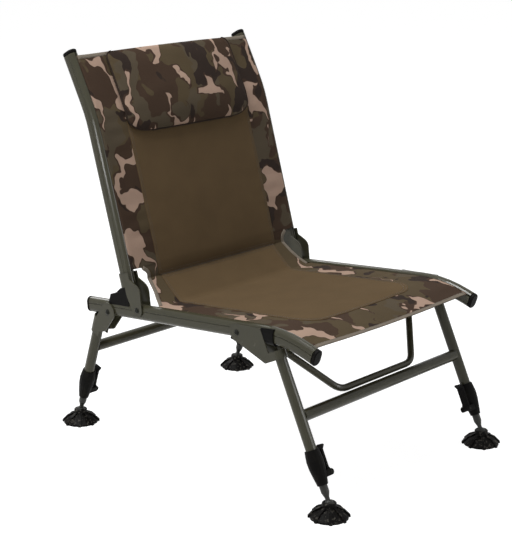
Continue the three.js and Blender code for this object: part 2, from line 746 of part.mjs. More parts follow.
// The front bracket's web ends under the moulded stop, and its ears rise beside the rail
const frontWebTop = upToBend(frontLeg, -legInner - PLATE, -half(RAIL_HEIGHT) - LEG_STOP.thickness - 2 * GAP);
const frontWebLow = frontLeg.pivotUp - FRONT_BRACKET.drop;
const tipOut = FRONT_BRACKET.edgeOut + FRONT_TIP.radius;
const clothUnderside = RAIL_SLOT_RISE - half(SLOT_WIDTH);
const innerTipUp = upToRise(frontLeg, tipOut, clothUnderside - 2 * FRONT_TIP.radius);
const frontEar = (lobe, tipUp) => [
  [frontLeg.pivotOut, frontLeg.pivotUp, lobe],
  [FRONT_HEEL.out, frontLeg.pivotUp - FRONT_HEEL.drop, FRONT_HEEL.radius],
  [tipOut, tipUp, FRONT_TIP.radius],
  [FRONT_BRACKET.edgeOut, frontWebLow, 0],
];
const frontPlate = {
  low: frontWebLow,
  high: frontWebTop,
  corners: frontEar(FRONT_BRACKET.lobe, frontLeg.pivotUp - FRONT_TIP.drop),
  innerCorners: frontEar(FRONT_BRACKET.innerLobe, innerTipUp),
};

// The rear bracket's web ends just under the rail, which stops the open rear legs
const rearWebTop = upToRise(rearLeg, -legInner - PLATE, -half(RAIL_HEIGHT) - GAP);
const rearWebLow = rearLeg.pivotUp - REAR_BRACKET.drop;
const rearEar = [
  [rearLeg.pivotOut, rearLeg.pivotUp, REAR_BRACKET.lobe],
  [REAR_HEEL.out, rearLeg.pivotUp - REAR_HEEL.drop, REAR_HEEL.radius],
  [0, rearWebLow, 0],
  [0, rearWebTop, 0],
];
const rearPlate = { low: rearWebLow, high: rearWebTop, corners: rearEar, innerCorners: rearEar };

const LEG_PAIRS = [
  { name: 'front', frame: frontLeg, crossbar: FRONT_CROSSBAR_HEIGHT, plate: frontPlate },
  { name: 'rear', frame: rearLeg, crossbar: REAR_CROSSBAR_HEIGHT, plate: rearPlate },
];

// Crossbar between two legs, its ends shaped to the leg tubes
function crossbar(height) {
  const reach = half(RAIL_SPACING) - CROSSBAR_END_INSET;
  const bar = sweep(tubeShape(CROSSBAR_DIAMETER, CROSSBAR_WALL), straightPath(
    new THREE.Vector3(-reach, 0, height), new THREE.Vector3(reach, 0, height),
  ));
  const [low, high] = [height - CROSSBAR_DIAMETER, height + CROSSBAR_DIAMETER];
  const leg = barUpright(LEG_DIAMETER + 2 * GAP, low, high);
  return cut(bar, ...SIDES.map((side) => leg.clone().translate(railX(side), 0, 0)));
}

// U-shaped brace between the front brackets' inner ears
function brace() {
  const rootX = half(RAIL_SPACING) - legInner - PLATE - GAP;
  const bottomUp = FRONT_CROSSBAR_HEIGHT + BRACE_BOTTOM.rise;
  const rootUp = frontLeg.pivotUp - BRACE_ROOT.drop;
  const bottom = new THREE.Vector3(BRACE_HALF_WIDTH, BRACE_BOTTOM.out, bottomUp);
  const rootPlace = new THREE.Vector3(rootX, BRACE_ROOT.out, rootUp);
  const beyond = rootPlace.clone().sub(bottom).setLength(OVERRUN).add(rootPlace);
  const mirrored = (place) => place.clone().setX(-place.x);
  const path = bentPath([mirrored(beyond), mirrored(bottom), bottom, beyond], BRACE_BEND_RADIUS);
  const outReach = BRACE_ROOT.out + OVERRUN;
  const between = upright(
    shapeOf([[-rootX, -OVERRUN], [rootX, -OVERRUN], [rootX, outReach], [-rootX, outReach]]),
    bottomUp - OVERRUN,
    rootUp + OVERRUN,
  );
  return common(sweep(tubeShape(BRACE_DIAMETER, BRACE_WALL, THIN_QUARTER_STEPS), path), between);
}

// Spreader bar behind the back's cloth, bowed rearwards between the tubes' flat sides
function spreader() {
  const reach = half(RAIL_SPACING);
  const places = Array.from({ length: SPREADER_STEPS + 1 }, (_, i) => mix(-1, 1, i / SPREADER_STEPS));
  const points = places.map((share) => (
    new THREE.Vector3(share * reach, -SPREADER_BOW * (1 - share ** 2), SPREADER_HEIGHT)
  ));
  const tangents = places.map((share) => new THREE.Vector3(reach, 2 * SPREADER_BOW * share, 0).normalize());
  const section = tubeShape(SPREADER_DIAMETER, SPREADER_WALL, THIN_QUARTER_STEPS);
  const bar = sweep(section, new StationPath(points, tangents));
  const end = reach - railRadius - GAP;
  const between = upright(
    shapeOf([[-end, -OVERRUN], [end, -OVERRUN], [end, OVERRUN], [-end, OVERRUN]]),
    SPREADER_HEIGHT - SPREADER_DIAMETER,
    SPREADER_HEIGHT + SPREADER_DIAMETER,
  );
  return common(bar, between);
}

// Telescopic inner leg: ball, neck, cone and rod with an open bore at its top
function innerLeg() {
  const rod = half(INNER_LEG_DIAMETER);
  const neck = half(NECK.diameter);
  const bore = half(INNER_LEG_BORE.diameter);
  return turned([
    ...arc(0, 0, BALL_RADIUS, -QUARTER_TURN, Math.acos(neck / BALL_RADIUS), BALL_STEPS),
    [neck, NECK.coneStart],
    [rod, NECK.coneEnd],
    [rod, INNER_LEG_END],
    [bore, INNER_LEG_END],
    [bore, INNER_LEG_BORE.start],
    [0, INNER_LEG_BORE.start],
  ]);
}

// Clamp body round the lower end of the leg tube, with two cheeks for the lever's pin at +X
function clampBody() {
  const curve = new THREE.SplineCurve([
    new THREE.Vector2(half(CLAMP_BOTTOM_DIAMETER), 0),
    new THREE.Vector2(half(CLAMP_BELLY.diameter), CLAMP_BELLY.share * CLAMP_LENGTH),
    new THREE.Vector2(half(CLAMP_TOP_DIAMETER), CLAMP_LENGTH),
  ]).getPoints(CLAMP_CURVE_STEPS).map(({ x, y }) => [x, y]);
  const cheek = belt([
    [CLAMP_PIN.out, CLAMP_PIN.up, CHEEK.radius],
    [CLAMP_PIN.out - CHEEK.inset, CLAMP_PIN.up + CHEEK.radius, 0],
    [CLAMP_PIN.out - CHEEK.inset, CLAMP_PIN.up - CHEEK.radius, 0],
  ]);
  const near = half(LEVER.width) + GAP;
  const far = near + CHEEK.thickness;
  const grip = half(INNER_LEG_DIAMETER) + GAP;
  const shoulder = LEG_START - GAP - CLAMP_START;
  const bore = turned([
    [0, -OVERRUN],
    [grip, -OVERRUN],
    [grip, shoulder],
    [legInner, shoulder],
    [legInner, CLAMP_LENGTH + OVERRUN],
    [0, CLAMP_LENGTH + OVERRUN],
  ]);
  const hole = barAlong(CLAMP_PIN.diameter + 2 * GAP, far + OVERRUN)
    .translate(CLAMP_PIN.out, 0, CLAMP_PIN.up);
  const body = joined(
    turned([[0, 0], ...curve, [0, CLAMP_LENGTH]]),
    plateAlong(cheek, near, far),
    plateAlong(cheek, -far, -near),
  );
  return cut(body, bore, hole);
}

function clampPin() {
  return barAlong(CLAMP_PIN.diameter, half(LEVER.width) + GAP + CHEEK.thickness)
    .translate(CLAMP_PIN.out, 0, CLAMP_PIN.up);
}

// Lever: a thin paddle from the pin up the clamp, its free end hooked outwards
function clampLever() {
  const face = -LEVER.root;
  const outer = face + LEVER.thickness;
  const outline = [
    ...arc(0, 0, LEVER.root, -2 * QUARTER_TURN, half(QUARTER_TURN), 2 * BORE_QUARTER_STEPS),
    [outer, LEVER.shoulder],
    [outer, LEVER.length - LEVER.hookRise],
    [outer + LEVER.hook, LEVER.length - half(LEVER.thickness)],
    [outer + half(LEVER.hook), LEVER.length],
    [outer, LEVER.length - half(LEVER.thickness)],
    [face, LEVER.length - LEVER.hookRise],
  ];
  const body = plateAlong(shapeOf(outline), -half(LEVER.width), half(LEVER.width));
  return cut(body, barAlong(CLAMP_PIN.diameter + 2 * GAP, LEVER.width))
    .translate(CLAMP_PIN.out, 0, CLAMP_PIN.up);
}

// Mud foot about its ball's centre: a ribbed dome with a flat rim, a hollow underside and a socket
function foot() {
  const socket = BALL_RADIUS + BALL_CLEARANCE;
  const top = BALL_HEIGHT + BALL_LIP;
  const shell = turned([
    [0, FOOT_ROOF.height],
    [FOOT_ROOF.radius, FOOT_ROOF.height - FOOT_ROOF.drop],
    [FOOT_RIM.inner, 0],
    [FOOT_RIM.radius, 0],
    [FOOT_RIM.radius, FOOT_RIM.height],
    [FOOT_SHOULDER.radius, FOOT_SHOULDER.height],
    [COLLAR.radius, COLLAR.base],
    [COLLAR.radius, top - COLLAR.edge],
    [COLLAR.radius - COLLAR.edge, top],
    ...arc(0, BALL_HEIGHT, socket, Math.asin(BALL_LIP / socket), -QUARTER_TURN, BALL_STEPS),
  ]);
  const rib = shapeOf([
    [COLLAR.radius - COLLAR.edge, COLLAR.base - RIB_RISE],
    [FOOT_RIM.inner + RIB_RISE, 0],
    [FOOT_RADIUS, 0],
    [FOOT_RADIUS, FOOT_RIM.height],
    [FOOT_SHOULDER.radius + RIB_RISE, FOOT_SHOULDER.height + RIB_RISE],
    [COLLAR.radius - COLLAR.edge, COLLAR.base + 2 * RIB_RISE],
  ]);
  const ribs = Array.from({ length: FOOT_RIBS }, (_, i) => (
    plateAlong(rib, -half(RIB_WIDTH), half(RIB_WIDTH)).rotateZ(4 * QUARTER_TURN * i / FOOT_RIBS)
  ));
  return joined(shell, ...ribs).translate(0, 0, -BALL_HEIGHT);
}

// Section of the sling: a sheet bulging by bulge in the middle; edge outlines its +X side, from the
// lower face to the upper one
function sheetOutline(edge, flatAt, bulge) {
  const lift = (x) => bulge * Math.max(0, 1 - (x / flatAt) ** 2);
  const surface = Array.from({ length: SHEET_COLUMNS + 1 }, (_, i) => (
    mix(-flatAt, flatAt, i / SHEET_COLUMNS)
  ));
  const thin = half(CLOTH);
  return [
    ...surface.map((x) => [x, lift(x) - thin]),
    ...edge,
    ...surface.map((x) => [-x, lift(x) + thin]),
    ...[...edge].reverse().map(([x, height]) => [-x, height]),
  ];
}

// Edge with a thick strip along it
function stripEdge(halfWidth, strip) {
  const strap = halfWidth - strip.width;
  const thick = half(strip.thickness);
  const thin = half(CLOTH);
  return [
    [strap, -thin],
    [strap, -thick],
    [halfWidth, -thick],
    [halfWidth, thick],
    [strap, thick],
    [strap, thin],
  ];
}

// Cloth's middle ahead of the back tubes' axes: it lies on their fronts
const backCloth = railStraight + railRadius + GAP + half(CLOTH);

// Edge that turns rearwards through the slot in a back tube's front, down to its bead
function hookEdge() {
  const slot = half(RAIL_SPACING);
  const thin = half(CLOTH);
  const thick = half(BEAD.thickness);
  const bore = railStraight + reachAt(railRadius - RAIL_WALL, 0, thick);
  const beadTop = bore - 2 * GAP - backCloth;
  const beadLow = beadTop - BEAD.width;
  return [
    [slot - thin, -thin],
    [slot - thin, beadTop],
    [slot - thick, beadTop],
    [slot - thick, beadLow],
    [slot + thick, beadLow],
    [slot + thick, beadTop],
    [slot + thin, beadTop],
    [slot + thin, thin],
  ];
}

const clothFlat = half(RAIL_SPACING) - railRadius - SHEET_EDGE_FLAT;
const seatBore = reachAt(railRadius - RAIL_WALL, railStraight, RAIL_SLOT_RISE + half(BEAD.thickness));
const seatReach = half(RAIL_SPACING) - seatBore + GAP + BEAD.width;

function seatStation(at, normal) {
  return { outline: sheetOutline(stripEdge(seatReach, BEAD), clothFlat, -SEAT_SAG), at, normal };
}

function seatSheet() {
  const path = railPath(RAIL_SLOT_RISE, SEAT_FRONT_INSET, SEAT_REAR_EDGE);
  return loft(path.points.map((at, i) => (
    seatStation(at, side3(-path.tangents[i].z, path.tangents[i].y))
  )));
}

const backTop = BACK_TUBE_END - BACK_HEM_DROP;
const backBulgeAt = (up) => (
  mix(BACK_BULGE.low, BACK_BULGE.high, (up - BACK_LOWER_EDGE) / (backTop - BACK_LOWER_EDGE))
);

function onBackCloth(outline, height) {
  const { at, forward } = backAt(height);
  return { outline, at: at.addScaledVector(forward, backCloth), normal: forward };
}

function backSheet() {
  return loft(backHeights(BACK_LOWER_EDGE, backTop).map((height) => (
    onBackCloth(sheetOutline(hookEdge(), clothFlat, backBulgeAt(height)), height)
  )));
}

// Stretch of the sling between seat and back, with free taped edges that pass inside the hinge brackets
function creaseSheet() {
  const earReach = half(RAIL_SPACING) - hingeInner - PLATE - RIVET_HEAD.height - EAR_CLEARANCE;
  const taped = (halfWidth, bulge) => (
    sheetOutline(stripEdge(halfWidth, BINDING), halfWidth - SHEET_EDGE_FLAT, bulge)
  );
  const inSlots = loft([SEAT_REAR_EDGE + GAP, SEAT_SLOT_EDGE].map((y) => (
    seatStation(onRail(y, RAIL_SLOT_RISE), acrossRail)
  )));
  const free = loft([
    { outline: taped(earReach, -SEAT_SAG), at: onRail(SEAT_FREE_START, RAIL_SLOT_RISE), normal: acrossRail },
    ...[CREASE_LOW, CREASE_MIDDLE, CREASE_HIGH].map(({ behind, rise, steep, inset, bulge }) => ({
      outline: taped(half(RAIL_SPACING) - inset, bulge),
      at: onRail(BACK_PIVOT.y + behind, rise),
      normal: upward(radians(steep)),
    })),
    onBackCloth(
      taped(half(RAIL_SPACING) - CREASE_NOTCH.inset, BACK_BULGE.low), BACK_LOWER_EDGE - CREASE_NOTCH.drop,
    ),
    onBackCloth(taped(earReach, BACK_BULGE.low), BACK_LOWER_EDGE - GAP),
  ]);
  return joined(inSlots, free);
}

// Headrest cushion on the upper back: crowned in the middle, drawn in at its edges, following the cloth
function headrest() {
  const top = backTop - HEADREST.hemGap;
  const cloth = (x, up) => backBulgeAt(up) * (1 - (x / clothFlat) ** 2) + half(CLOTH) + 2 * GAP;
  const fullness = (share) => 1 - Math.abs(share) ** HEADREST_CROWN;
  const cornerInset = (fromEdge, corner) => {
    const inside = Math.max(0, corner - fromEdge);
    return corner - Math.sqrt(corner * corner - inside * inside);
  };
  return loft(Array.from({ length: HEADREST_ROWS + 1 }, (_, i) => {
    const share = -Math.cos(2 * QUARTER_TURN * i / HEADREST_ROWS);
    const up = top - HEADREST.height * half(1 - share);
    const inset = cornerInset(top - up, HEADREST.upperCorner)
      + cornerInset(up - top + HEADREST.height, HEADREST.lowerCorner);
    const halfWidth = half(HEADREST.width) - inset;
    const columns = Array.from({ length: HEADREST_COLUMNS + 1 }, (_, j) => (
      -Math.cos(2 * QUARTER_TURN * j / HEADREST_COLUMNS)
    ));
    const depth = (across) => (
      HEADREST.edge + (HEADREST.thickness - HEADREST.edge) * Math.sqrt(fullness(across) * fullness(share))
    );
    const rear = columns.map((across) => [across * halfWidth, cloth(across * halfWidth, up)]);
    const front = columns.map((across, j) => (
      [-across * halfWidth, rear[columns.length - 1 - j][1] + depth(across)]
    ));
    return onBackCloth([...rear, ...front], up);
  }));
}

// Seat frame
const chair = new THREE.Group();
const seatFrame = new THREE.Group();
const nose = railPath(0, 0, RAIL_REAR_END);
const ends = [
  { name: 'front', at: nose.points[0], outward: rearward(noseDrop).negate() },
  { name: 'rear', at: nose.points[nose.points.length - 1], outward: rearward(-slope) },
];
for (const side of SIDES) {
  const oneSide = new THREE.Group();
  oneSide.position.x = railX(side);
  oneSide.add(
    piece(`rail_${side.name}`, rail(side), FRAME_PAINT),
    piece(`back_stop_${side.name}`, backStop(), BLACK_PLASTIC),
    piece(`front_leg_stop_${side.name}`, legStop(side), BLACK_PLASTIC),
    ...ends.map(({ name, at, outward }) => railCap(`rail_${name}_cap_${side.name}`, at, outward)),
  );
  seatFrame.add(oneSide);
}
seatFrame.add(piece('seat_fabric', seatSheet(), CAMO_CLOTH));
chair.add(seatFrame);

// Backrest
const backrest = new THREE.Group();
const tubeTop = backAt(BACK_TUBE_END);
for (const side of SIDES) {
  const oneSide = new THREE.Group();
  oneSide.position.x = railX(side);
  oneSide.add(
    piece(`back_tube_${side.name}`, backTube(side), FRAME_PAINT),
    railCap(`back_cap_${side.name}`, tubeTop.at, tubeTop.along),
  );
  const group = frameGroup(back, railX(side));
  const names = { bracket: `back_bracket_${side.name}`, rivet: `back_rivet_${side.name}` };
  addHinge(group, back, side, names, hingeInner, hingePlate);
  backrest.add(oneSide, group);
}

const backMiddle = frameGroup(back, 0);
backMiddle.add(piece('back_spreader_bar', spreader(), FRAME_PAINT));
backrest.add(
  backMiddle,
  piece('back_fabric', backSheet(), CAMO_CLOTH),
  piece('crease_fabric', creaseSheet(), OLIVE_CLOTH),
  piece('headrest_pad', headrest(), CAMO_CLOTH),
);
chair.add(backrest);

// Leg pairs
for (const pair of LEG_PAIRS) {
  const legs = new THREE.Group();
  const tubeEnd = pair.plate.high - LEG_RECESS;
  for (const side of SIDES) {
    const place = `${pair.name}_${side.name}`;
    const group = frameGroup(pair.frame, railX(side));
    group.add(piece(
      `leg_tube_${place}`, upright(tubeShape(LEG_DIAMETER, LEG_WALL), LEG_START, tubeEnd), FRAME_PAINT,
    ));
    const names = { bracket: `leg_bracket_${place}`, rivet: `leg_rivet_${place}` };
    addHinge(group, pair.frame, side, names, legInner, pair.plate);
    group.add(piece(`inner_leg_${place}`, innerLeg(), INNER_STEEL));
    const clamp = new THREE.Group();
    clamp.position.z = CLAMP_START;
    if (side.sign * pair.frame.facing > 0) clamp.rotation.z = 2 * QUARTER_TURN;
    clamp.add(
      piece(`clamp_body_${place}`, clampBody(), BLACK_PLASTIC),
      piece(`clamp_pin_${place}`, clampPin(), RIVET_STEEL),
      piece(`clamp_lever_${place}`, clampLever(), BLACK_PLASTIC),
    );
    group.add(clamp);
    const mud = piece(`foot_${place}`, foot(), BLACK_PLASTIC);
    mud.position.copy(pair.frame.origin).setX(railX(side));
    legs.add(group, mud);
  }
  const middle = frameGroup(pair.frame, 0);
  middle.add(piece(`${pair.name}_crossbar`, crossbar(pair.crossbar), FRAME_PAINT));
  if (pair.frame === frontLeg) middle.add(piece('front_brace', brace(), FRAME_PAINT));
  legs.add(middle);
  chair.add(legs);
}

// Origin midway between the feet
chair.position.y = -half(frontLeg.origin.y + rearLeg.origin.y);

const part = new THREE.Group();
part.add(chair);

export default part;
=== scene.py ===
import math

import bpy
import numpy as np
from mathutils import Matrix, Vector


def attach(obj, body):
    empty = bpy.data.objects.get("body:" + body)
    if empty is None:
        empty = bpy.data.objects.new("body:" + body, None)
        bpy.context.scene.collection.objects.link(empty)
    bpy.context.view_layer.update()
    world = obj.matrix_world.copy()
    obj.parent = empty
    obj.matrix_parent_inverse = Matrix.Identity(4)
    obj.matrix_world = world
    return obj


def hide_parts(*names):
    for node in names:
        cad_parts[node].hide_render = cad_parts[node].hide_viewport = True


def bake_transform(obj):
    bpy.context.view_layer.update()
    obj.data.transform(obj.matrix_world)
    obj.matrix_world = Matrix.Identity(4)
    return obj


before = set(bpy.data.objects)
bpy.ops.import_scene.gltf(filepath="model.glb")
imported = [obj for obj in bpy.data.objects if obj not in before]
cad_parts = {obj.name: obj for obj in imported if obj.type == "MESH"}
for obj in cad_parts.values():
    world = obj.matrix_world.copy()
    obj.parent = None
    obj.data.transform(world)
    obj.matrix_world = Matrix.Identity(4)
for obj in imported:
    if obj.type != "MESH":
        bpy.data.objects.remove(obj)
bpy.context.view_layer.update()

# Camera, solved from the photograph's perspective
CAMERA_PLACE = (-2.146, -1.946, 1.170)
CAMERA_YAW = math.radians(-46.91)
CAMERA_PITCH = math.radians(16.01)
CAMERA_LENS = 93.9
SENSOR = 36

# Rails, in metres and radians, as in the solid model
ORIGIN_SHIFT = 0.000964
RAIL_MIDDLE_HEIGHT = 0.305
RAIL_SLOPE = math.radians(5.3)
RAIL_BEND_START = -0.187
RAIL_BEND_RADIUS = 0.283
NOSE_DROP = math.radians(18)
NOSE_LENGTH = 0.015
SLOT_RISE = 0.010  # slot above the rail's middle line
SLOT_END = 0.110
FRONT_INSET = 0.009  # front hem behind the rail's end

# Backrest: hinge, recline and bend, as in the solid model
HINGE_BEHIND = 0.148
HINGE_RISE = 0.0057
HINGE_TO_TUBE = 0.021
BACK_RECLINE = math.radians(16.5)
BACK_BEND_START = 0.374
BACK_BEND_ANGLE = math.radians(11.6)
BACK_BEND_RADIUS = 0.283
BACK_CLOTH = 0.0178  # cloth's middle surface ahead of the tubes' axes
FREE_TOP = 0.073  # where the free edges turn outwards to the back tubes
BACK_LOW = 0.083
BACK_TOP = 0.526

# Stations of the crease: behind the hinge, above the rail's line, steepness below and above it in degrees
CREASE = ((-0.026, 0.0185, 33, 33), (-0.0055, 0.0365, 39, 39), (0.0165, 0.0605, 44, 82))
BEND_POINTS = 24
STATION_POINTS = 12
BACK_POINTS = 60
FINE_POINTS = 2000

# Sling across its width
CLOTH = 0.0016
SEAT_EDGE = 0.2415
BACK_EDGE = 0.2435
SEAT_SAG = -0.005
CROWNED_EDGE = 0.2345  # the crown ends a flat strip inside this half width, or inside the free edge
FLAT_STRIP = 0.016
CROWN_POWER = 1.15
SLOT_LEAD = 0.003  # the cloth leaves the rail's slot this far behind the slot's end
HOOK_LEAD = 0.001  # it turns into the back tubes' slots from this far below BACK_LOW upwards
HOOK_DEPTH = 0.005

# Half widths of the free edges at the slots' end, the crease's stations, FREE_TOP and BACK_LOW
FREE_EDGES = (0.2285, 0.222, 0.212, 0.206, 0.2065, 0.2245)

# Crowns at the crease's stations, FREE_TOP, BACK_LOW and the top hem
BACK_BULGES = (-0.004, -0.002, 0.0, 0.003, 0.005, 0.005)

# Easing between the stations, and how far off the cloth's direction is measured
EASE_REACH = 0.007
EASE_STEPS = 9
WAY_REACH = 0.001

# Small tension ripples: beside the rails, and across the crease. Waves are in radians per metre
PULL_HEIGHT = 0.0007
PULL_INNER = (0.12, 0.22)
PULL_OUTER = (0.236, 0.216)
PULL_WAVES = 118
PULL_WANDER = 3
PULL_WANDER_WAVES = 31
FOLD_HEIGHT = 0.0009
FOLD_REACH = 0.035
FOLD_OUTER = (0.2, 0.15)
FOLD_WAVES = 46
FOLD_WANDER = 2
FOLD_WANDER_WAVES = 17

# Rows and columns of the sling's mesh, and the edges of its section as shares of half the thickness
ROW_STEP = 0.006
ROW_CLEARANCE = 0.0004
TURN_ROWS = 0.0005
SEAM_ROWS = 0.0015
SLING_COLUMNS = 65
EDGE_TURNS = np.radians([72, 43, 14, -14, -43, -72])
HOOK_UPPER_SHARE = 0.8
HOOK_THROAT_SHARE = -2.4
HOOK_UNDER_SHARE = -1.1

# Plain panels sewn onto the sling
PANEL_THICKNESS = 0.0009
PANEL_ROWS = 60
PANEL_COLUMNS = 49
SEAT_PANEL_HALF = 0.171
SEAT_PANEL_FRONT = -0.236
SEAT_PANEL_CORNER = 0.052
BACK_PANEL_HALF = 0.176
BACK_PANEL_TOP = 0.392
BACK_PANEL_CORNER = 0.020
SEAM_CORNER = 0.004
SEAM_HALF_GAP = 0.0008

# Headrest cushion; its lower corners are wider than they are high
PAD_HALF = 0.176
PAD_HEIGHT = 0.174
PAD_HEM_GAP = 0.002
PAD_LOWER_CORNER = (0.055, 0.030)
PAD_UPPER_CORNER = (0.016, 0.016)
PAD_EDGE = 0.0045
PAD_THICKNESS = 0.018
PAD_CROWN = 3.2  # power of the cushion's rounding: higher is flatter with steeper edges
PAD_GAP = 0.0004
PAD_BASE = CLOTH / 2 + PANEL_THICKNESS + PAD_GAP
PAD_SWELL = 0.0016  # how far the gusset stands out at the sides
PAD_GUSSET_SHARES = (0.75, 0.25)
PAD_ROWS = 40
PAD_COLUMNS = 64
PAD_PRINT_SHIFT = (0.4, 0.13)

# Puckers beside the cushion's seam and hollows over its face. Waves are in radians per metre
PUCKER_HEIGHT = 0.0009
PUCKER_FADE_SHARE = 2 / 3
PUCKER_RISE_SHARE = 1 / 6
PUCKER_WAVES = 190
PUCKER_WANDER = 4
PUCKER_WANDER_WAVES = 37
PUCKER_SLANT = 160
HOLLOW_HEIGHT = 0.0011
HOLLOW_WAVES = (31, 55)
HOLLOW_WANDER = 2
HOLLOW_WANDER_WAVES = (40, 23)

# Tapes and cords, with the powers that round a tape's section
TAPE_SECTION = 16
TAPE_WIDTH_POWER = 0.5
TAPE_HEIGHT_POWER = 0.7
HEM_WIDTH = 0.009
HEM_THICKNESS = 0.0025
HEM_MIDDLE_SHARE = 0.45
HEM_POINTS = 60
FRONT_HEM_HALF = 0.2335
TOP_HEM_HALF = 0.2445
EDGE_TAPE_WIDTH = 0.0085
EDGE_TAPE_THICKNESS = 0.0032
EDGE_TAPE_INSET_SHARE = 0.35
EDGE_TAPE_LEAD = 0.001
EDGE_TAPE_POINTS = 50
PIPING = 0.0028
PIPING_SIDE_POINTS = 50
PIPING_LOWER_POINTS = 40
SEAM_CORD = 0.0024
SEAM_CORD_RISE = 0.0006
SEAM_CORD_POINTS = 60

# Stitches: short threads in rows along the seams, thinner at their ends
STITCH = 0.0028
STITCH_PITCH = 0.0040
STITCH_RADIUS = 0.00035
STITCH_SIDES = 6
STITCH_SECTION_SHARES = ((-0.5, 0.3), (-0.32, 0.9), (0.0, 1.0), (0.32, 0.9), (0.5, 0.3))
SEAM_INSETS = (0.0025, 0.0065)
HEM_STITCHES_SHARE = 0.72
FRONT_STITCHES_HALF = 0.2325
TOP_STITCHES_HALF = 0.2425
EDGE_STITCHES_SHARE = 0.6
EDGE_STITCHES_LEAD = 0.003


def linear(code):
    """Linear colour of a hex code, as node sockets take it."""
    channels = [int(code[i:i + 2], 16) / 255 for i in (0, 2, 4)]
    return [*((c / 12.92 if c <= 0.04045 else ((c + 0.055) / 1.055) ** 2.4) for c in channels), 1]


# Small builder for node trees
class Nodes:
    def __init__(self, tree):
        self.tree = tree

    def set(self, node, socket, value):
        """Gives a socket its value, or links it to another node's output."""
        target = node.inputs[socket]
        if isinstance(value, bpy.types.NodeSocket):
            self.tree.links.new(value, target)
        else:
            target.default_value = value

    def add(self, kind, sockets=None, **settings):
        node = self.tree.nodes.new(kind)
        for name, value in settings.items():
            setattr(node, name, value)
        for socket, value in (sockets or {}).items():
            self.set(node, socket, value)
        return node

    def math(self, operation, *values):
        return self.add("ShaderNodeMath", dict(enumerate(values)), operation=operation).outputs[0]

    def seen_directly(self):
        """1 for rays from the camera and for reflected or refracted ones, 0 for the light that bounces."""
        path = self.add("ShaderNodeLightPath").outputs
        seen = path["Is Camera Ray"]
        for kind in ("Is Glossy Ray", "Is Transmission Ray"):
            seen = self.math("MAXIMUM", seen, path[kind])
        return seen


# Builder for a piece's material. Frequencies are per metre, and depths are in metres
class Finish(Nodes):
    def __init__(self, name, roughness=0.5, metallic=0.0, sheen=0.0, specular=0.5):
        self.material = bpy.data.materials.new(name)
        self.material.use_nodes = True
        super().__init__(self.material.node_tree)
        self.shader = self.tree.nodes["Principled BSDF"]
        self.set(self.shader, "Roughness", roughness)
        self.set(self.shader, "Metallic", metallic)
        self.set(self.shader, "Sheen Weight", sheen)
        self.set(self.shader, "Specular IOR Level", specular)

    def cloth_place(self):
        return self.add("ShaderNodeUVMap", uv_map="cloth").outputs[0]

    def object_place(self):
        return self.add("ShaderNodeTexCoord").outputs["Object"]

    def vector(self, operation, first, second=None, scale=None):
        node = self.add("ShaderNodeVectorMath", {0: first}, operation=operation)
        if second is not None:
            self.set(node, 1, second)
        if scale is not None:
            self.set(node, "Scale", scale)
        return node.outputs[0]

    def turned(self, place, turn=0.0, stretch=(1, 1, 1)):
        sockets = {"Vector": place, "Rotation": (0, 0, turn), "Scale": stretch}
        return self.add("ShaderNodeMapping", sockets).outputs[0]

    def noise(self, place, frequency, detail=2.0, roughness=0.5, shift=(0, 0, 0), output="Fac"):
        moved = self.vector("ADD", place, shift)
        sockets = {"Vector": moved, "Scale": frequency, "Detail": detail, "Roughness": roughness}
        return self.add("ShaderNodeTexNoise", sockets).outputs[output]

    def step(self, value, low, high):
        sockets = {"Value": value, "From Min": low, "From Max": high}
        return self.add("ShaderNodeMapRange", sockets, interpolation_type="SMOOTHSTEP").outputs[0]

    def ramp(self, value, base=0.0, rise=1.0):
        return self.math("MULTIPLY_ADD", value, rise, base)

    def mix(self, share, first, second):
        sockets = {0: share, 6: first, 7: second}
        return self.add("ShaderNodeMix", sockets, data_type="RGBA").outputs[2]

    def bump(self, height, strength, depth):
        sockets = {"Height": height, "Strength": strength, "Distance": depth}
        return self.add("ShaderNodeBump", sockets).outputs[0]

    def shaded(self, colour, normal, roughness=None):
        self.set(self.shader, "Base Color", colour)
        self.set(self.shader, "Normal", normal)
        if roughness is not None:
            self.set(self.shader, "Roughness", roughness)
        return self.material


# Cloths: pitch of the threads and depth of the weave, in metres
CAMOUFLAGE_WEAVE = {"pitch": 0.0009, "depth": 0.00025}
OLIVE_WEAVE = {"pitch": 0.0016, "depth": 0.0004}
TAPE_WEAVE = {"pitch": 0.0008, "depth": 0.0003}
PIPING_WEAVE = {"pitch": 0.0008, "depth": 0.0002}

# Woven cloth: crossings of a plain weave with painted shade in the gaps where a thread lies under the other,
# fuzz on the threads and faint blotches in the dye
WEAVE_GAP_PAINTED_SHADE_SHARE = 0.16
FUZZ_SHADE_SHARE = 0.18
BLOTCH_SHADE_SHARE = 0.24
FUZZ_HEIGHT_SHARE = 0.5
WEAVE_STRENGTH = 0.6
BLOTCH_FREQUENCY = 14


def weave(finish, place, pitch):
    """1 where one thread lies over the other and 0 where it lies under it."""
    parts = finish.add("ShaderNodeSeparateXYZ", {0: place}).outputs
    turns = [finish.math("MULTIPLY", parts[i], math.pi / pitch) for i in (0, 1)]
    across, along = [finish.math("SINE", turn) for turn in turns]
    return finish.ramp(finish.math("MULTIPLY", across, along), base=1 / 2, rise=1 / 2)


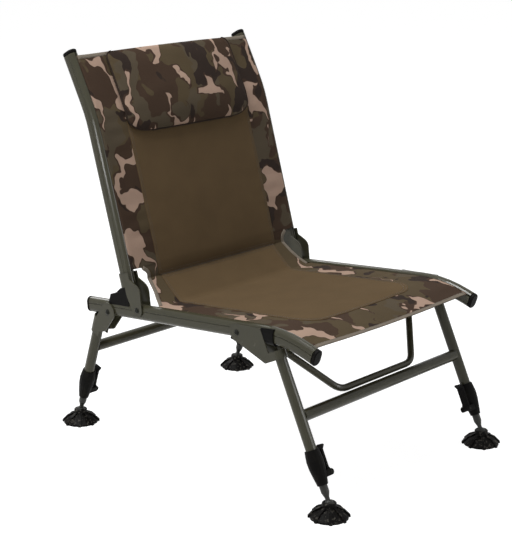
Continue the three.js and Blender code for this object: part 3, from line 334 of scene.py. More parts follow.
def woven(finish, place, colour, pitch, depth):
    threads = weave(finish, place, pitch)
    fuzz = finish.noise(place, frequency=1 / pitch, detail=3)
    blotch = finish.noise(place, frequency=BLOTCH_FREQUENCY, detail=3)
    # painted shade: the colour is darker where a thread lies under the other, in the weave's gaps
    shade = finish.ramp(threads, base=1 - WEAVE_GAP_PAINTED_SHADE_SHARE, rise=WEAVE_GAP_PAINTED_SHADE_SHARE)
    for tone, share in ((fuzz, FUZZ_SHADE_SHARE), (blotch, BLOTCH_SHADE_SHARE)):
        shade = finish.ramp(tone, base=finish.math("SUBTRACT", shade, share / 2), rise=share)
    toned = finish.vector("SCALE", colour, scale=shade)
    height = finish.ramp(fuzz, base=threads, rise=FUZZ_HEIGHT_SHARE)
    return finish.shaded(toned, finish.bump(height, WEAVE_STRENGTH, depth))


# Generic camouflage: layers of ragged blobs, then branching tan ribbons with a dark rim
CAMO_GROUND = "4b402f"
CAMO_LAYERS = (
    {"code": "3d2f25", "frequency": 12, "shift": 3.1, "threshold": 0.50, "turn": 0.5, "stretch": 0.7},
    {"code": "4c4336", "frequency": 10, "shift": 17.7, "threshold": 0.57, "turn": -0.4, "stretch": 0.8},
    {"code": "2c231e", "frequency": 14, "shift": 29.3, "threshold": 0.58, "turn": 0.9, "stretch": 0.7},
)
CAMO_TAN = "9e8676"
CAMO_RIM = "3b2d24"
CAMO_EDGE = 0.004
WANDER_FREQUENCY = 18
WANDER_REACH = 0.075
MIDDLE_GREY = (0.5, 0.5, 0.5)
RIBBON_MIDDLE = 0.5
RIBBON_TURN = 0.9
RIBBON_STRETCH = (1.2, 0.75, 1)
RIBBON = {"frequency": 9, "detail": 1, "roughness": 0.4, "shift": (7.3, 7.3, 0)}
RIBBON_GATE = {"frequency": 12, "detail": 1, "shift": (41.7, 11.9, 0)}
RIBBON_WIDTH = {"base": -0.184, "rise": 0.40}
RIM_WIDTH = 0.016


def blobs(finish, place, colour, code, frequency, shift, threshold, turn, stretch):
    """Lays ragged blobs of one colour over the colour so far."""
    turned = finish.turned(place, turn, (1, stretch, 1))
    value = finish.noise(turned, frequency, detail=1.5, roughness=0.4, shift=(shift, shift, 0))
    inside = finish.step(value, threshold - CAMO_EDGE, threshold + CAMO_EDGE)
    return finish.mix(inside, colour, linear(code))


def ribbons(finish, place, colour):
    """Lays the tan ribbons, with their dark rim, over the colour so far."""
    ribbon = finish.noise(finish.turned(place, RIBBON_TURN, RIBBON_STRETCH), **RIBBON)
    from_middle = finish.math("ABSOLUTE", finish.math("SUBTRACT", ribbon, RIBBON_MIDDLE))
    width = finish.ramp(finish.noise(place, **RIBBON_GATE), **RIBBON_WIDTH)
    inside = finish.math("SUBTRACT", width, from_middle)
    rimmed = finish.mix(finish.step(inside, -RIM_WIDTH - CAMO_EDGE, -RIM_WIDTH), colour, linear(CAMO_RIM))
    return finish.mix(finish.step(inside, -CAMO_EDGE, 0.0), rimmed, linear(CAMO_TAN))


def camouflage(finish, place):
    wander = finish.noise(place, WANDER_FREQUENCY, output="Color")
    offset = finish.vector("SCALE", finish.vector("SUBTRACT", wander, MIDDLE_GREY), scale=WANDER_REACH)
    warped = finish.vector("ADD", place, offset)
    colour = linear(CAMO_GROUND)
    for layer in CAMO_LAYERS:
        colour = blobs(finish, warped, colour, **layer)
    return ribbons(finish, warped, colour)


def camouflage_cloth():
    finish = Finish("camouflage_cloth", roughness=0.92, specular=0.12)
    place = finish.cloth_place()
    return woven(finish, place, camouflage(finish, place), **CAMOUFLAGE_WEAVE)


def plain_cloth(name, code, threads, roughness, specular):
    finish = Finish(name, roughness=roughness, specular=specular)
    return woven(finish, finish.cloth_place(), linear(code)[:3], **threads)


# Depths of the relief in the other finishes, in metres
THREAD_DEPTH = 0.0002
PEEL_DEPTH = 0.0003
WEAR_DEPTH = 0.0002
STREAK_DEPTH = 0.0002
GRAIN_DEPTH = 0.0003
LUMP_DEPTH = 0.0012


def thread():
    finish = Finish("thread", roughness=0.7, sheen=0.2)
    tone = finish.noise(finish.object_place(), frequency=700)
    colour = finish.mix(tone, linear("2a231b"), linear("40372a"))
    return finish.shaded(colour, finish.bump(tone, strength=0.3, depth=THREAD_DEPTH))


def frame_paint():
    """Satin bronze-green powder coat, a little cloudy, with orange peel and a few scuffs."""
    finish = Finish("frame_paint", specular=0.22)
    place = finish.object_place()
    cloud = finish.noise(place, frequency=9, detail=4)
    peel = finish.noise(place, frequency=650)
    wear = finish.noise(place, frequency=60, detail=6, roughness=0.7)
    scuff = finish.ramp(finish.step(wear, low=0.66, high=0.72), rise=0.3)
    colour = finish.mix(cloud, linear("333226"), linear("3e3c2f"))
    colour = finish.mix(scuff, colour, linear("605d52"))
    rough = finish.ramp(cloud, base=0.15, rise=0.12)
    return finish.shaded(colour, finish.bump(peel, strength=0.12, depth=PEEL_DEPTH), rough)


def rivet_steel():
    """Dark coated steel, rubbed in places."""
    finish = Finish("rivet_steel", metallic=0.5, specular=0.1)
    wear = finish.noise(finish.object_place(), frequency=240, detail=4, roughness=0.65)
    colour = finish.mix(wear, linear("0c0c0a"), linear("2a2a25"))
    rough = finish.ramp(wear, base=0.25, rise=0.3)
    return finish.shaded(colour, finish.bump(wear, strength=0.15, depth=WEAR_DEPTH), rough)


def inner_leg_steel():
    """Dark tube with streaks along it, where it slides in the clamp."""
    finish = Finish("inner_leg_steel", metallic=0.1, specular=0.3)
    streaked = finish.turned(finish.object_place(), stretch=(1, 1, 0.12))
    streak = finish.noise(streaked, frequency=420, detail=4)
    colour = finish.mix(streak, linear("171714"), linear("2a2a26"))
    rough = finish.ramp(streak, base=0.28, rise=0.25)
    return finish.shaded(colour, finish.bump(streak, strength=0.15, depth=STREAK_DEPTH), rough)


def black_plastic():
    """Fine-grained moulded plastic with a little dust."""
    finish = Finish("black_plastic", specular=0.05)
    place = finish.object_place()
    grain = finish.noise(place, frequency=1100)
    dust = finish.step(finish.noise(place, frequency=34, detail=6, roughness=0.65), low=0.5, high=0.72)
    colour = finish.mix(finish.ramp(dust, rise=0.5), linear("0c0b0a"), linear("23211c"))
    rough = finish.ramp(dust, base=0.5, rise=0.2)
    return finish.shaded(colour, finish.bump(grain, strength=0.35, depth=GRAIN_DEPTH), rough)


def rubber_painted_glints():
    """Black rubber with lighter specks, painted highlights that stand in for the tread's glints."""
    finish = Finish("rubber_painted_glints", specular=0.05)
    lumps = finish.noise(finish.object_place(), frequency=170, detail=3, roughness=0.6)
    # painted highlights: lighter random specks in the colour, standing in for the tread's glints
    painted_glints = finish.step(lumps, low=0.53, high=0.68)
    colour = finish.mix(finish.ramp(painted_glints, rise=0.6), linear("0c0b0a"), linear("5c5952"))
    rough = finish.ramp(painted_glints, base=0.45, rise=0.3)
    return finish.shaded(colour, finish.bump(lumps, strength=0.5, depth=LUMP_DEPTH), rough)


MATERIALS = {
    "frame_paint": frame_paint(),
    "rivet_steel": rivet_steel(),
    "inner_leg_steel": inner_leg_steel(),
    "black_plastic": black_plastic(),
    "rubber_painted_glints": rubber_painted_glints(),
    "thread": thread(),
    "camouflage_cloth": camouflage_cloth(),
    "olive_cloth": plain_cloth("olive_cloth", "594934", OLIVE_WEAVE, roughness=0.95, specular=0.08),
    "binding_tape": plain_cloth("binding_tape", "776e62", TAPE_WEAVE, roughness=0.85, specular=0.15),
    # dark piping cloth: a real piping, and partly painted shade along the cushion's seam
    "piping_cloth_and_seam_shade": plain_cloth("piping_cloth_and_seam_shade", "2f2620", PIPING_WEAVE, roughness=0.9, specular=0.12),
}


# Side view of the sling: points (y, z) from the front hem to the top hem
def side(y, z):
    return np.array([y, z])


def rearward(angle):
    """Direction to the rear that rises at this angle; upward is square to it."""
    return side(math.cos(angle), math.sin(angle))


def upward(angle):
    return side(-math.sin(angle), math.cos(angle))


def on_rail(y, rise=0.0):
    """Point at this place along the rail's straight line, and this far above it."""
    return side(y, RAIL_MIDDLE_HEIGHT - y * math.tan(RAIL_SLOPE)) + rise * upward(-RAIL_SLOPE)


BACK_UP = side(math.sin(BACK_RECLINE), math.cos(BACK_RECLINE))
BACK_OUT = side(-math.cos(BACK_RECLINE), math.sin(BACK_RECLINE))
BACK_ORIGIN = on_rail(HINGE_BEHIND, HINGE_RISE) - HINGE_TO_TUBE * BACK_OUT
BACK_BEND_LENGTH = BACK_BEND_RADIUS * BACK_BEND_ANGLE


def on_back(height):
    """Point of the cloth at a height along the back tubes, which bend rearwards near the top."""
    lean = BACK_RECLINE + np.clip(height - BACK_BEND_START, 0, BACK_BEND_LENGTH) / BACK_BEND_RADIUS
    forward = side(-math.cos(lean), math.sin(lean))
    along = side(math.sin(lean), math.cos(lean))
    centre = BACK_ORIGIN + min(height, BACK_BEND_START) * BACK_UP - BACK_BEND_RADIUS * BACK_OUT
    above_bend = max(0, height - BACK_BEND_START - BACK_BEND_LENGTH)
    return centre + (BACK_BEND_RADIUS + BACK_CLOTH) * forward + above_bend * along


def hermite(start, start_way, end, end_way, count):
    """Points of a smooth curve that leaves the start and reaches the end in the given directions."""
    reach = np.linalg.norm(end - start)
    t = np.linspace(0, 1, count, endpoint=False)[:, None]
    return (
        (2 * t**3 - 3 * t**2 + 1) * start + (t**3 - 2 * t**2 + t) * reach * start_way
        + (3 * t**2 - 2 * t**3) * end + (t**3 - t**2) * reach * end_way
    )


def crease_stations():
    """Places of the cloth between rail and back, each with its directions below and above it."""
    level = rearward(-RAIL_SLOPE)
    stations = [(on_rail(SLOT_END, SLOT_RISE), level, level)]
    for behind, rise, below, above in CREASE:
        place = on_rail(HINGE_BEHIND + behind, rise)
        stations.append((place, rearward(math.radians(below)), rearward(math.radians(above))))
    stations.append((on_back(FREE_TOP), BACK_UP, BACK_UP))
    return stations


def sling_profile():
    centre = on_rail(RAIL_BEND_START, -RAIL_BEND_RADIUS)
    turns = np.linspace(NOSE_DROP, -RAIL_SLOPE, BEND_POINTS)
    bend = [centre + (RAIL_BEND_RADIUS + SLOT_RISE) * upward(turn) for turn in turns]
    points = [bend[0] + (FRONT_INSET - NOSE_LENGTH) * rearward(NOSE_DROP), *bend]
    stations = crease_stations()
    for (start, _, start_way), (end, end_way, _) in zip(stations, stations[1:]):
        points += list(hermite(start, start_way, end, end_way, STATION_POINTS))
    points += [on_back(height) for height in (FREE_TOP, *np.linspace(BACK_LOW, BACK_TOP, BACK_POINTS))]
    return np.array(points) + side(ORIGIN_SHIFT, 0)


PROFILE = sling_profile()
LENGTHS = np.concatenate([[0], np.cumsum(np.linalg.norm(np.diff(PROFILE, axis=0), axis=1))])
SLING_LENGTH = LENGTHS[-1]


def on_profile(along):
    return np.stack([np.interp(along, LENGTHS, PROFILE[:, i]) for i in (0, 1)], axis=-1)


def along_of(point):
    """How far along the cloth it passes nearest to this point of the side view."""
    fine = np.linspace(0, SLING_LENGTH, FINE_POINTS)
    return fine[np.argmin(np.linalg.norm(on_profile(fine) - point - side(ORIGIN_SHIFT, 0), axis=1))]


SLOT_END_ALONG = along_of(on_rail(SLOT_END, SLOT_RISE))
CREASE_ALONG = [along_of(on_rail(HINGE_BEHIND + behind, rise)) for behind, rise, *_ in CREASE]
FOLD_ALONG = CREASE_ALONG[1]
SEAM_ALONG = CREASE_ALONG[-1]
BACK_LOW_ALONG = along_of(on_back(BACK_LOW))
STATIONS_ALONG = [SLOT_END_ALONG, *CREASE_ALONG, along_of(on_back(FREE_TOP)), BACK_LOW_ALONG]
FREE_START = SLOT_END_ALONG + SLOT_LEAD
FREE_END = BACK_LOW_ALONG - HOOK_LEAD


# Surface of the sling: every soft piece is placed on it by (across, along, above)
def between(value, start, end):
    """Share of the way from start to end, from 0 to 1."""
    return np.clip((value - start) / (end - start), 0, 1)


def smooth_along(along, places, values):
    """Value between stations, eased so that the cloth has no kinks."""
    spread = np.linspace(-EASE_REACH, EASE_REACH, EASE_STEPS)
    return np.mean([np.interp(along + shift, places, values) for shift in spread], axis=0)


def crown_at(along):
    """How far the cloth's middle sags below its edges on the seat, or stands out of them on the back."""
    return smooth_along(along, [0, *STATIONS_ALONG, SLING_LENGTH], [SEAT_SAG, SEAT_SAG, *BACK_BULGES])


def edge_at(along):
    """Half the sling's width: in the slots, and along its free edges at the crease."""
    free = smooth_along(along, STATIONS_ALONG, FREE_EDGES)
    free = np.where(along < FREE_START, SEAT_EDGE, free)
    return np.where(along > FREE_END, BACK_EDGE, free)


def ripple(x, along):
    """Height of the tension ripples at a place on the cloth."""
    out = np.abs(x)
    wander = PULL_WANDER * np.sin(along * PULL_WANDER_WAVES)
    pull = PULL_HEIGHT * np.sin(along * PULL_WAVES + wander)
    pull = pull * between(out, *PULL_INNER) * between(out, *PULL_OUTER)
    wander = FOLD_WANDER * np.sin(x * FOLD_WANDER_WAVES)
    fold = FOLD_HEIGHT * np.exp(-((along - FOLD_ALONG) / FOLD_REACH) ** 2)
    return pull + fold * np.sin(x * FOLD_WAVES + wander) * between(out, *FOLD_OUTER)


def on_sling(x, along, lift=0.0):
    """Place in the frame of a point on the cloth: across, along and above its middle surface."""
    x, along, lift = [np.asarray(value, float) for value in np.broadcast_arrays(x, along, lift)]
    centre = on_profile(along)
    way = on_profile(along + WAY_REACH) - on_profile(along - WAY_REACH)
    way = way / np.linalg.norm(way, axis=-1, keepdims=True)
    flat_at = np.minimum(edge_at(along), CROWNED_EDGE) - FLAT_STRIP
    crown = crown_at(along) * np.clip(1 - (x / flat_at) ** 2, 0, 1) ** CROWN_POWER
    height = crown + ripple(x, along) + lift
    y = centre[..., 0] - way[..., 1] * height
    z = centre[..., 1] + way[..., 0] * height
    return np.stack([x, y, z], axis=-1)


# Meshes
def linked(name, data):
    made = bpy.data.objects.new(name, data)
    bpy.context.scene.collection.objects.link(made)
    return made


def make_mesh(name, points, faces, material, cloth):
    """Smooth mesh whose cloth coordinates, in metres, carry the print and the weave."""
    mesh = bpy.data.meshes.new(name)
    mesh.from_pydata([tuple(map(float, point)) for point in points], [], faces)
    layer = mesh.uv_layers.new(name="cloth")
    for loop in mesh.loops:
        layer.data[loop.index].uv = cloth[loop.vertex_index]
    mesh.polygons.foreach_set("use_smooth", [True] * len(mesh.polygons))
    mesh.materials.append(MATERIALS[material])
    mesh.update()
    mesh.validate()
    return linked(name, mesh)


def ring_faces(rings, count):
    """Faces between closed rings of points, with a cap at each end."""
    faces = []
    for i in range(rings - 1):
        for j in range(count):
            here, beside = i * count + j, i * count + (j + 1) % count
            faces.append((here, beside, beside + count, here + count))
    faces.append(tuple(reversed(range(count))))
    faces.append(tuple(range((rings - 1) * count, rings * count)))
    return faces


def flat_edge(reach, half):
    """Rounded edge of a sheet, from its upper face to its lower one."""
    return reach + half * np.cos(EDGE_TURNS), half * np.sin(EDGE_TURNS)


def hooked_edge(reach, half):
    """Edge that turns down through the slot in a back tube's front."""
    outer = reach + 2 * half
    xs = np.array([reach + half, outer, outer, reach, reach, reach - half])
    upper, throat, under = HOOK_UPPER_SHARE * half, HOOK_THROAT_SHARE * half, HOOK_UNDER_SHARE * half
    return xs, np.array([upper, -half, -HOOK_DEPTH, -HOOK_DEPTH, throat, under])


def sheet_on_sling(rows, half_widths, edges, columns, thickness, lift=0.0):
    """Points, faces and cloth coordinates of a closed sheet. Each row goes over it and back under it."""
    points, cloth = [], []
    half = thickness / 2
    for along, reach, edge in zip(rows, half_widths, edges):
        x = np.linspace(-1, 1, columns) * reach
        top = np.full(columns, half)
        edge_x, edge_lift = edge(reach, half)
        xs = np.concatenate([x, edge_x, x[::-1], -edge_x[::-1]])
        lifts = np.concatenate([top, edge_lift, -top, edge_lift[::-1]])
        points.append(on_sling(xs, along, lifts + lift))
        cloth += [(px, along + height) for px, height in zip(xs, lifts)]
    return np.concatenate(points), ring_faces(len(points), len(points[0])), cloth


def corner_inset(from_edge, width, height):
    """How far a rounded corner of this width and height draws a side in, at distances from its edge."""
    share = np.clip(1 - from_edge / height, 0, 1)
    return width * (1 - np.sqrt(np.maximum(1 - share**2, 0)))


def eased(count):
    """Places from -1 to 1, closer together towards both ends."""
    return -np.cos(np.linspace(0, math.pi, count))


# Sling: one camouflage sheet from the front hem to the top hem, its edges held inside the slots
def sling():
    turns = [place + shift for place in (FREE_START, FREE_END) for shift in (-TURN_ROWS, TURN_ROWS)]
    corners = [*turns, SEAM_ALONG - SEAM_ROWS, SEAM_ALONG, SEAM_ALONG + SEAM_ROWS]
    even = [*np.arange(0, SLING_LENGTH, ROW_STEP), SLING_LENGTH]
    clear = [row for row in even if all(abs(row - corner) > ROW_CLEARANCE for corner in corners)]
    rows = np.array(sorted([*clear, *corners]))
    edges = [hooked_edge if row > FREE_END else flat_edge for row in rows]
    points, faces, cloth = sheet_on_sling(rows, edge_at(rows), edges, SLING_COLUMNS, CLOTH)
    return make_mesh("sling", points, faces, "camouflage_cloth", cloth)


# Panels: plain cloth with rounded corners, sewn onto the sling and meeting in the crease's seam
PANELS = {
    "seat_panel": {
        "start": along_of(on_rail(SEAT_PANEL_FRONT, SLOT_RISE)), "end": SEAM_ALONG - SEAM_HALF_GAP,
        "half_width": SEAT_PANEL_HALF, "start_corner": SEAT_PANEL_CORNER, "end_corner": SEAM_CORNER,
    },
    "back_panel": {
        "start": SEAM_ALONG + SEAM_HALF_GAP, "end": along_of(on_back(BACK_PANEL_TOP)),
        "half_width": BACK_PANEL_HALF, "start_corner": SEAM_CORNER, "end_corner": BACK_PANEL_CORNER,
    },
}


def panel(name, start, end, half_width, start_corner, end_corner):
    places = (start + end) / 2 + (end - start) / 2 * eased(PANEL_ROWS)
    inset = corner_inset(places - start, start_corner, start_corner)
    inset += corner_inset(end - places, end_corner, end_corner)
    edges = [flat_edge] * PANEL_ROWS
    lift = (CLOTH + PANEL_THICKNESS) / 2
    points, faces, cloth = sheet_on_sling(
        places, half_width - inset, edges, PANEL_COLUMNS, PANEL_THICKNESS, lift,
    )
    return make_mesh(name, points, faces, "olive_cloth", cloth)


# Headrest cushion: crowned in the middle, drawn in at its rounded edges, lying on the sling
PAD_TOP = SLING_LENGTH - PAD_HEM_GAP
PAD_LOW = PAD_TOP - PAD_HEIGHT


def pad_half_width(places):
    lower = corner_inset(places - PAD_LOW, *PAD_LOWER_CORNER)
    return PAD_HALF - lower - corner_inset(PAD_TOP - places, *PAD_UPPER_CORNER)


def pad_creases(x, place, full):
    """Puckers beside the seam and shallow hollows over the cushion's face; full is 0 at its edges."""
    near_seam = between(full, PUCKER_FADE_SHARE, 0) * between(full, 0, PUCKER_RISE_SHARE)
    wander = PUCKER_WANDER * np.sin(x * PUCKER_WANDER_WAVES)
    pucker = PUCKER_HEIGHT * near_seam * np.sin(x * PUCKER_WAVES + wander + place * PUCKER_SLANT)
    across = np.sin(x * HOLLOW_WAVES[0] + HOLLOW_WANDER * np.sin(place * HOLLOW_WANDER_WAVES[0]))
    along = np.sin(place * HOLLOW_WAVES[1] + np.sin(x * HOLLOW_WANDER_WAVES[1]))
    return pucker + HOLLOW_HEIGHT * full * across * along


def headrest():
    across, rise = eased(PAD_COLUMNS), eased(PAD_ROWS)
    places = (PAD_TOP + PAD_LOW) / 2 + rise * PAD_HEIGHT / 2
    gusset = PAD_BASE + PAD_EDGE * np.array(PAD_GUSSET_SHARES)
    print_x, print_along = PAD_PRINT_SHIFT
    rings, cloth = [], []
    for place, reach, share in zip(places, pad_half_width(places), rise):
        full = np.sqrt((1 - np.abs(across) ** PAD_CROWN) * (1 - abs(share) ** PAD_CROWN))
        depth = PAD_EDGE + (PAD_THICKNESS - PAD_EDGE) * full
        x = across * reach
        side_x = np.full(len(gusset), reach + PAD_SWELL)
        rings.append(np.concatenate([
            on_sling(x, place, PAD_BASE + depth + pad_creases(x, place, full)),
            on_sling(side_x, place, gusset),
            on_sling(x[::-1], place, PAD_BASE),
            on_sling(-side_x, place, gusset[::-1]),
        ]))
        xs = np.concatenate([x, side_x, x[::-1], -side_x])
        cloth += [(px + print_x, place + print_along) for px in xs]
    faces = ring_faces(len(rings), len(rings[0]))
    return make_mesh("headrest_cushion", np.concatenate(rings), faces, "camouflage_cloth", cloth)


# Tapes: flat strips with rounded sides along lines on the sling
def tape_section(width, thickness):
    """Points (across, above) round the tape."""
    points = []
    for turn in np.linspace(0, 2 * math.pi, TAPE_SECTION, endpoint=False):
        across, above = math.cos(turn), math.sin(turn)
        points.append((
            math.copysign(abs(across) ** TAPE_WIDTH_POWER, across) * width / 2,
            math.copysign(abs(above) ** TAPE_HEIGHT_POWER, above) * thickness / 2,
        ))
    return np.array(points)


def with_ways(line):
    """Points (x, along) of a line, each with the line's direction there."""
    line = np.array(line)
    ways = np.gradient(line, axis=0)
    return line, ways / np.linalg.norm(ways, axis=1)[:, None]


def tape(name, line, width, thickness, lift=0.0, material="binding_tape"):
    across, above = tape_section(width, thickness).T
    places, ways = with_ways(line)
    runs = np.concatenate([[0], np.cumsum(np.linalg.norm(np.diff(places, axis=0), axis=1))])
    rings, cloth = [], []
    for (x, along), (way_x, way_along), run in zip(places, ways, runs):
        rings.append(on_sling(x + way_along * across, along - way_x * across, lift + above))
        cloth += [(place, run) for place in across]
    faces = ring_faces(len(rings), TAPE_SECTION)
    return make_mesh(name, np.concatenate(rings), faces, material, cloth)


def hem(name, along, half_width):
    line = [(x, along) for x in np.linspace(-half_width, half_width, HEM_POINTS)]
    return tape(name, line, HEM_WIDTH, HEM_THICKNESS)


def edge_tape(name, sign):
    """Tape round a free edge of the sling at the crease."""
    rows = np.linspace(FREE_START + EDGE_TAPE_LEAD, FREE_END - EDGE_TAPE_LEAD, EDGE_TAPE_POINTS)
    reach = edge_at(rows) - EDGE_TAPE_WIDTH * EDGE_TAPE_INSET_SHARE
    return tape(name, list(zip(sign * reach, rows)), EDGE_TAPE_WIDTH, EDGE_TAPE_THICKNESS)


def pad_piping():
    """Piping round the cushion's front, from the upper left corner down, along and up again; its dark cloth
    is partly painted shade along the cushion's seam.
    """
    rows = PAD_LOW + PAD_HEIGHT * (eased(PIPING_SIDE_POINTS) + 1) / 2
    reach = pad_half_width(rows) + PAD_SWELL
    lower = np.linspace(-reach[0], reach[0], PIPING_LOWER_POINTS)[1:-1]
    line = [*zip(-reach[::-1], rows[::-1]), *((x, PAD_LOW - PAD_SWELL) for x in lower), *zip(reach, rows)]
    return tape("cushion_piping_and_seam_shade", line, PIPING, PIPING, PAD_BASE + PAD_EDGE, "piping_cloth_and_seam_shade")


def seam_cord():
    """Sewn-in cord in the fold between the two panels."""
    line = [(x, SEAM_ALONG) for x in np.linspace(-SEAT_PANEL_HALF, SEAT_PANEL_HALF, SEAM_CORD_POINTS)]
    return tape("seam_cord", line, SEAM_CORD, SEAM_CORD, CLOTH / 2 + SEAM_CORD_RISE, "thread")


# Stitches
def evenly(line):
    """Places a stitch's pitch apart along a line of (x, along), with the line's way there."""
    line = np.array(line)
    run = np.concatenate([[0], np.cumsum(np.linalg.norm(np.diff(line, axis=0), axis=1))])
    probe = STITCH_PITCH / 4
    at = np.linspace(0, run[-1], int(run[-1] / STITCH_PITCH), endpoint=False) + STITCH_PITCH / 2
    here, ahead = [
        np.stack([np.interp(place, run, line[:, i]) for i in (0, 1)], axis=1) for place in (at, at + probe)
    ]
    lengths = np.linalg.norm(ahead - here, axis=1)
    kept = lengths > probe / 2
    return here[kept], (ahead - here)[kept] / lengths[kept][:, None]


def stitches(name, lines, lift):
    """One mesh of all the stitches along some lines; lift is their height above the cloth's middle."""
    rings, faces, cloth = [], [], []
    turns = np.linspace(0, 2 * math.pi, STITCH_SIDES, endpoint=False)
    stitch_faces = ring_faces(len(STITCH_SECTION_SHARES), STITCH_SIDES)
    for line in lines:
        for (x, along), (way_x, way_along) in zip(*evenly(line)):
            start = len(rings) * STITCH_SIDES
            for share, swell_share in STITCH_SECTION_SHARES:
                radius = STITCH_RADIUS * swell_share
                across = radius * np.cos(turns)
                xs = x + way_x * share * STITCH + way_along * across
                alongs = along + way_along * share * STITCH - way_x * across
                rings.append(on_sling(xs, alongs, lift + radius * np.sin(turns)))
                cloth += list(zip(xs, alongs))
            faces += [tuple(start + i for i in face) for face in stitch_faces]
    return make_mesh(name, np.concatenate(rings), faces, "thread", cloth)


def panel_line(start, end, half_width, start_corner, end_corner, inset):
    """Closed line inside a panel's edge."""
    rows = (start + end) / 2 + ((end - start) / 2 - inset) * eased(PANEL_ROWS)
    reach = half_width - inset
    reach -= corner_inset(rows - start - inset, start_corner, start_corner)
    reach -= corner_inset(end - inset - rows, end_corner, end_corner)
    return [*zip(-reach, rows), *zip(reach[::-1], rows[::-1]), (-reach[0], rows[0])]


def panel_stitches(name):
    lines = [panel_line(**PANELS[name], inset=inset) for inset in SEAM_INSETS]
    return stitches(f"{name}_stitches", lines, CLOTH / 2 + PANEL_THICKNESS + STITCH_RADIUS / 2)


def hem_stitches(name, along, half_width):
    return stitches(name, [[(-half_width, along), (half_width, along)]], (HEM_THICKNESS + STITCH_RADIUS) / 2)


def edge_tape_stitches():
    rows = np.linspace(FREE_START + EDGE_STITCHES_LEAD, FREE_END - EDGE_STITCHES_LEAD, EDGE_TAPE_POINTS)
    reach = edge_at(rows) - EDGE_TAPE_WIDTH * EDGE_STITCHES_SHARE
    lines = [list(zip(sign * reach, rows)) for sign in (-1, 1)]
    return stitches("crease_tape_stitches", lines, (EDGE_TAPE_THICKNESS + STITCH_RADIUS) / 2)


# The soft pieces
made_sling = sling()
seat_panel, back_panel = [panel(name, **form) for name, form in PANELS.items()]
cushion = headrest()
cord = seam_cord()
piping = pad_piping()
hem_middle = HEM_WIDTH * HEM_MIDDLE_SHARE
front_hem = hem("front_hem", hem_middle, FRONT_HEM_HALF)
top_hem = hem("top_hem", SLING_LENGTH - hem_middle, TOP_HEM_HALF)
edge_tapes = [edge_tape(f"crease_tape_{word}", sign) for word, sign in (("right", -1), ("left", 1))]
seam_stitches = [panel_stitches(name) for name in PANELS]
hem_seam = HEM_WIDTH * HEM_STITCHES_SHARE
front_stitches = hem_stitches("front_hem_stitches", hem_seam, FRONT_STITCHES_HALF)
top_stitches = hem_stitches("top_hem_stitches", SLING_LENGTH - hem_seam, TOP_STITCHES_HALF)
seam_stitches.append(edge_tape_stitches())

# What each piece rides on and stands for
for crossing in (made_sling, seat_panel, back_panel, cord, *edge_tapes, *seam_stitches):
    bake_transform(crossing)
for riding, body in (
    (front_hem, "seat_frame"), (front_stitches, "seat_frame"), (top_hem, "backrest"),
    (top_stitches, "backrest"), (cushion, "backrest"), (piping, "backrest"),
):
    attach(riding, body)
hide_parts("seat_fabric", "crease_fabric", "back_fabric")
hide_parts("headrest_pad")

# Finishes of the solid model's own pieces, by words in their names
FINISH_WORDS = {
    "rubber_painted_glints": ("foot_",),
    "inner_leg_steel": ("inner_leg",),
    "rivet_steel": ("rivet", "pin"),
    "frame_paint": ("rail_right", "rail_left", "tube", "bracket", "brace", "bar"),
}


def finish_of(name):
    for material, words in FINISH_WORDS.items():
        if any(word in name for word in words):
            return MATERIALS[material]
    return MATERIALS["black_plastic"]


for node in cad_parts.values():
    if not node.hide_render:
        for slot in node.material_slots:
            slot.material = finish_of(node.name)

# Floor, lamps and camera
WHITE = (1, 1, 1, 1)
FLOOR_REACH = 12
FLOOR_PALE = (0.9, 0.9, 0.9, 1)
FLOOR_GLOW = 0.88
FLOOR_SHADE = (0.34, 0.34, 0.34, 1)
WORLD_LIGHT = 0.34
LAMPS = {
    "key": {"place": (-0.9, 0.4, 3.1), "aim": (0, 0, 0.4), "size": 1.0, "power": 88},
    "fill": {"place": (1.0, -3.0, 1.3), "aim": (0, 0, 0.3), "size": 0.5, "power": 11},
    "rim": {"place": (0.6, 2.4, 2.2), "aim": (0, 0, 0.4), "size": 1.0, "power": 32},
    "side": {"place": (-2.5, 0.2, 0.7), "aim": (0, 0, 0.4), "size": 0.15, "power": 7},
}


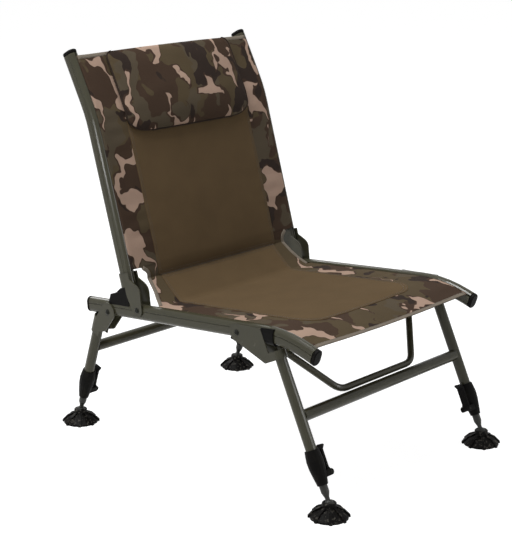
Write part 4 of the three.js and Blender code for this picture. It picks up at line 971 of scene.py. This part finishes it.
def floor():
    """Pale floor. Seen directly or in a reflection it glows almost white, and keeps the object's shadow."""
    mesh = bpy.data.meshes.new("floor")
    corners = [(x * FLOOR_REACH, y * FLOOR_REACH, 0) for x, y in ((-1, -1), (1, -1), (1, 1), (-1, 1))]
    mesh.from_pydata(corners, [], [(0, 1, 2, 3)])
    material = bpy.data.materials.new("floor")
    material.use_nodes = True
    nodes = Nodes(material.node_tree)
    nodes.tree.nodes.remove(nodes.tree.nodes["Principled BSDF"])
    pale = nodes.add("ShaderNodeBsdfDiffuse", {"Color": FLOOR_PALE}).outputs[0]
    shade = nodes.add("ShaderNodeBsdfDiffuse", {"Color": FLOOR_SHADE}).outputs[0]
    glow = nodes.add("ShaderNodeEmission", {"Strength": FLOOR_GLOW}).outputs[0]
    glowing = nodes.add("ShaderNodeAddShader", {0: shade, 1: glow}).outputs[0]
    surface = nodes.add("ShaderNodeMixShader", {0: nodes.seen_directly(), 1: pale, 2: glowing}).outputs[0]
    nodes.set(nodes.tree.nodes["Material Output"], "Surface", surface)
    mesh.materials.append(material)
    linked("floor", mesh)


def surroundings():
    world = bpy.data.worlds.new("studio")
    bpy.context.scene.world = world
    world.use_nodes = True
    nodes = Nodes(world.node_tree)
    plain = nodes.tree.nodes["Background"]
    nodes.set(plain, "Color", WHITE)
    nodes.set(plain, "Strength", WORLD_LIGHT)
    white = nodes.add("ShaderNodeBackground", {"Color": WHITE, "Strength": 1}).outputs[0]
    sky = nodes.add("ShaderNodeMixShader", {0: nodes.seen_directly(), 1: plain.outputs[0], 2: white})
    nodes.set(nodes.tree.nodes["World Output"], "Surface", sky.outputs[0])


def lamp(name, place, aim, size, power):
    data = bpy.data.lights.new(name, "AREA")
    data.size = size
    data.energy = power
    made = linked(name, data)
    made.location = place
    made.rotation_euler = (Vector(aim) - Vector(place)).to_track_quat("-Z", "Y").to_euler()


def camera():
    data = bpy.data.cameras.new("camera")
    data.lens = CAMERA_LENS
    data.sensor_width = SENSOR
    made = linked("camera", data)
    made.location = CAMERA_PLACE
    made.rotation_euler = (math.pi / 2 - CAMERA_PITCH, 0, CAMERA_YAW)
    bpy.context.scene.camera = made


floor()
surroundings()
for name, values in LAMPS.items():
    lamp(name, **values)
camera()
bpy.context.scene.view_settings.view_transform = "Standard"
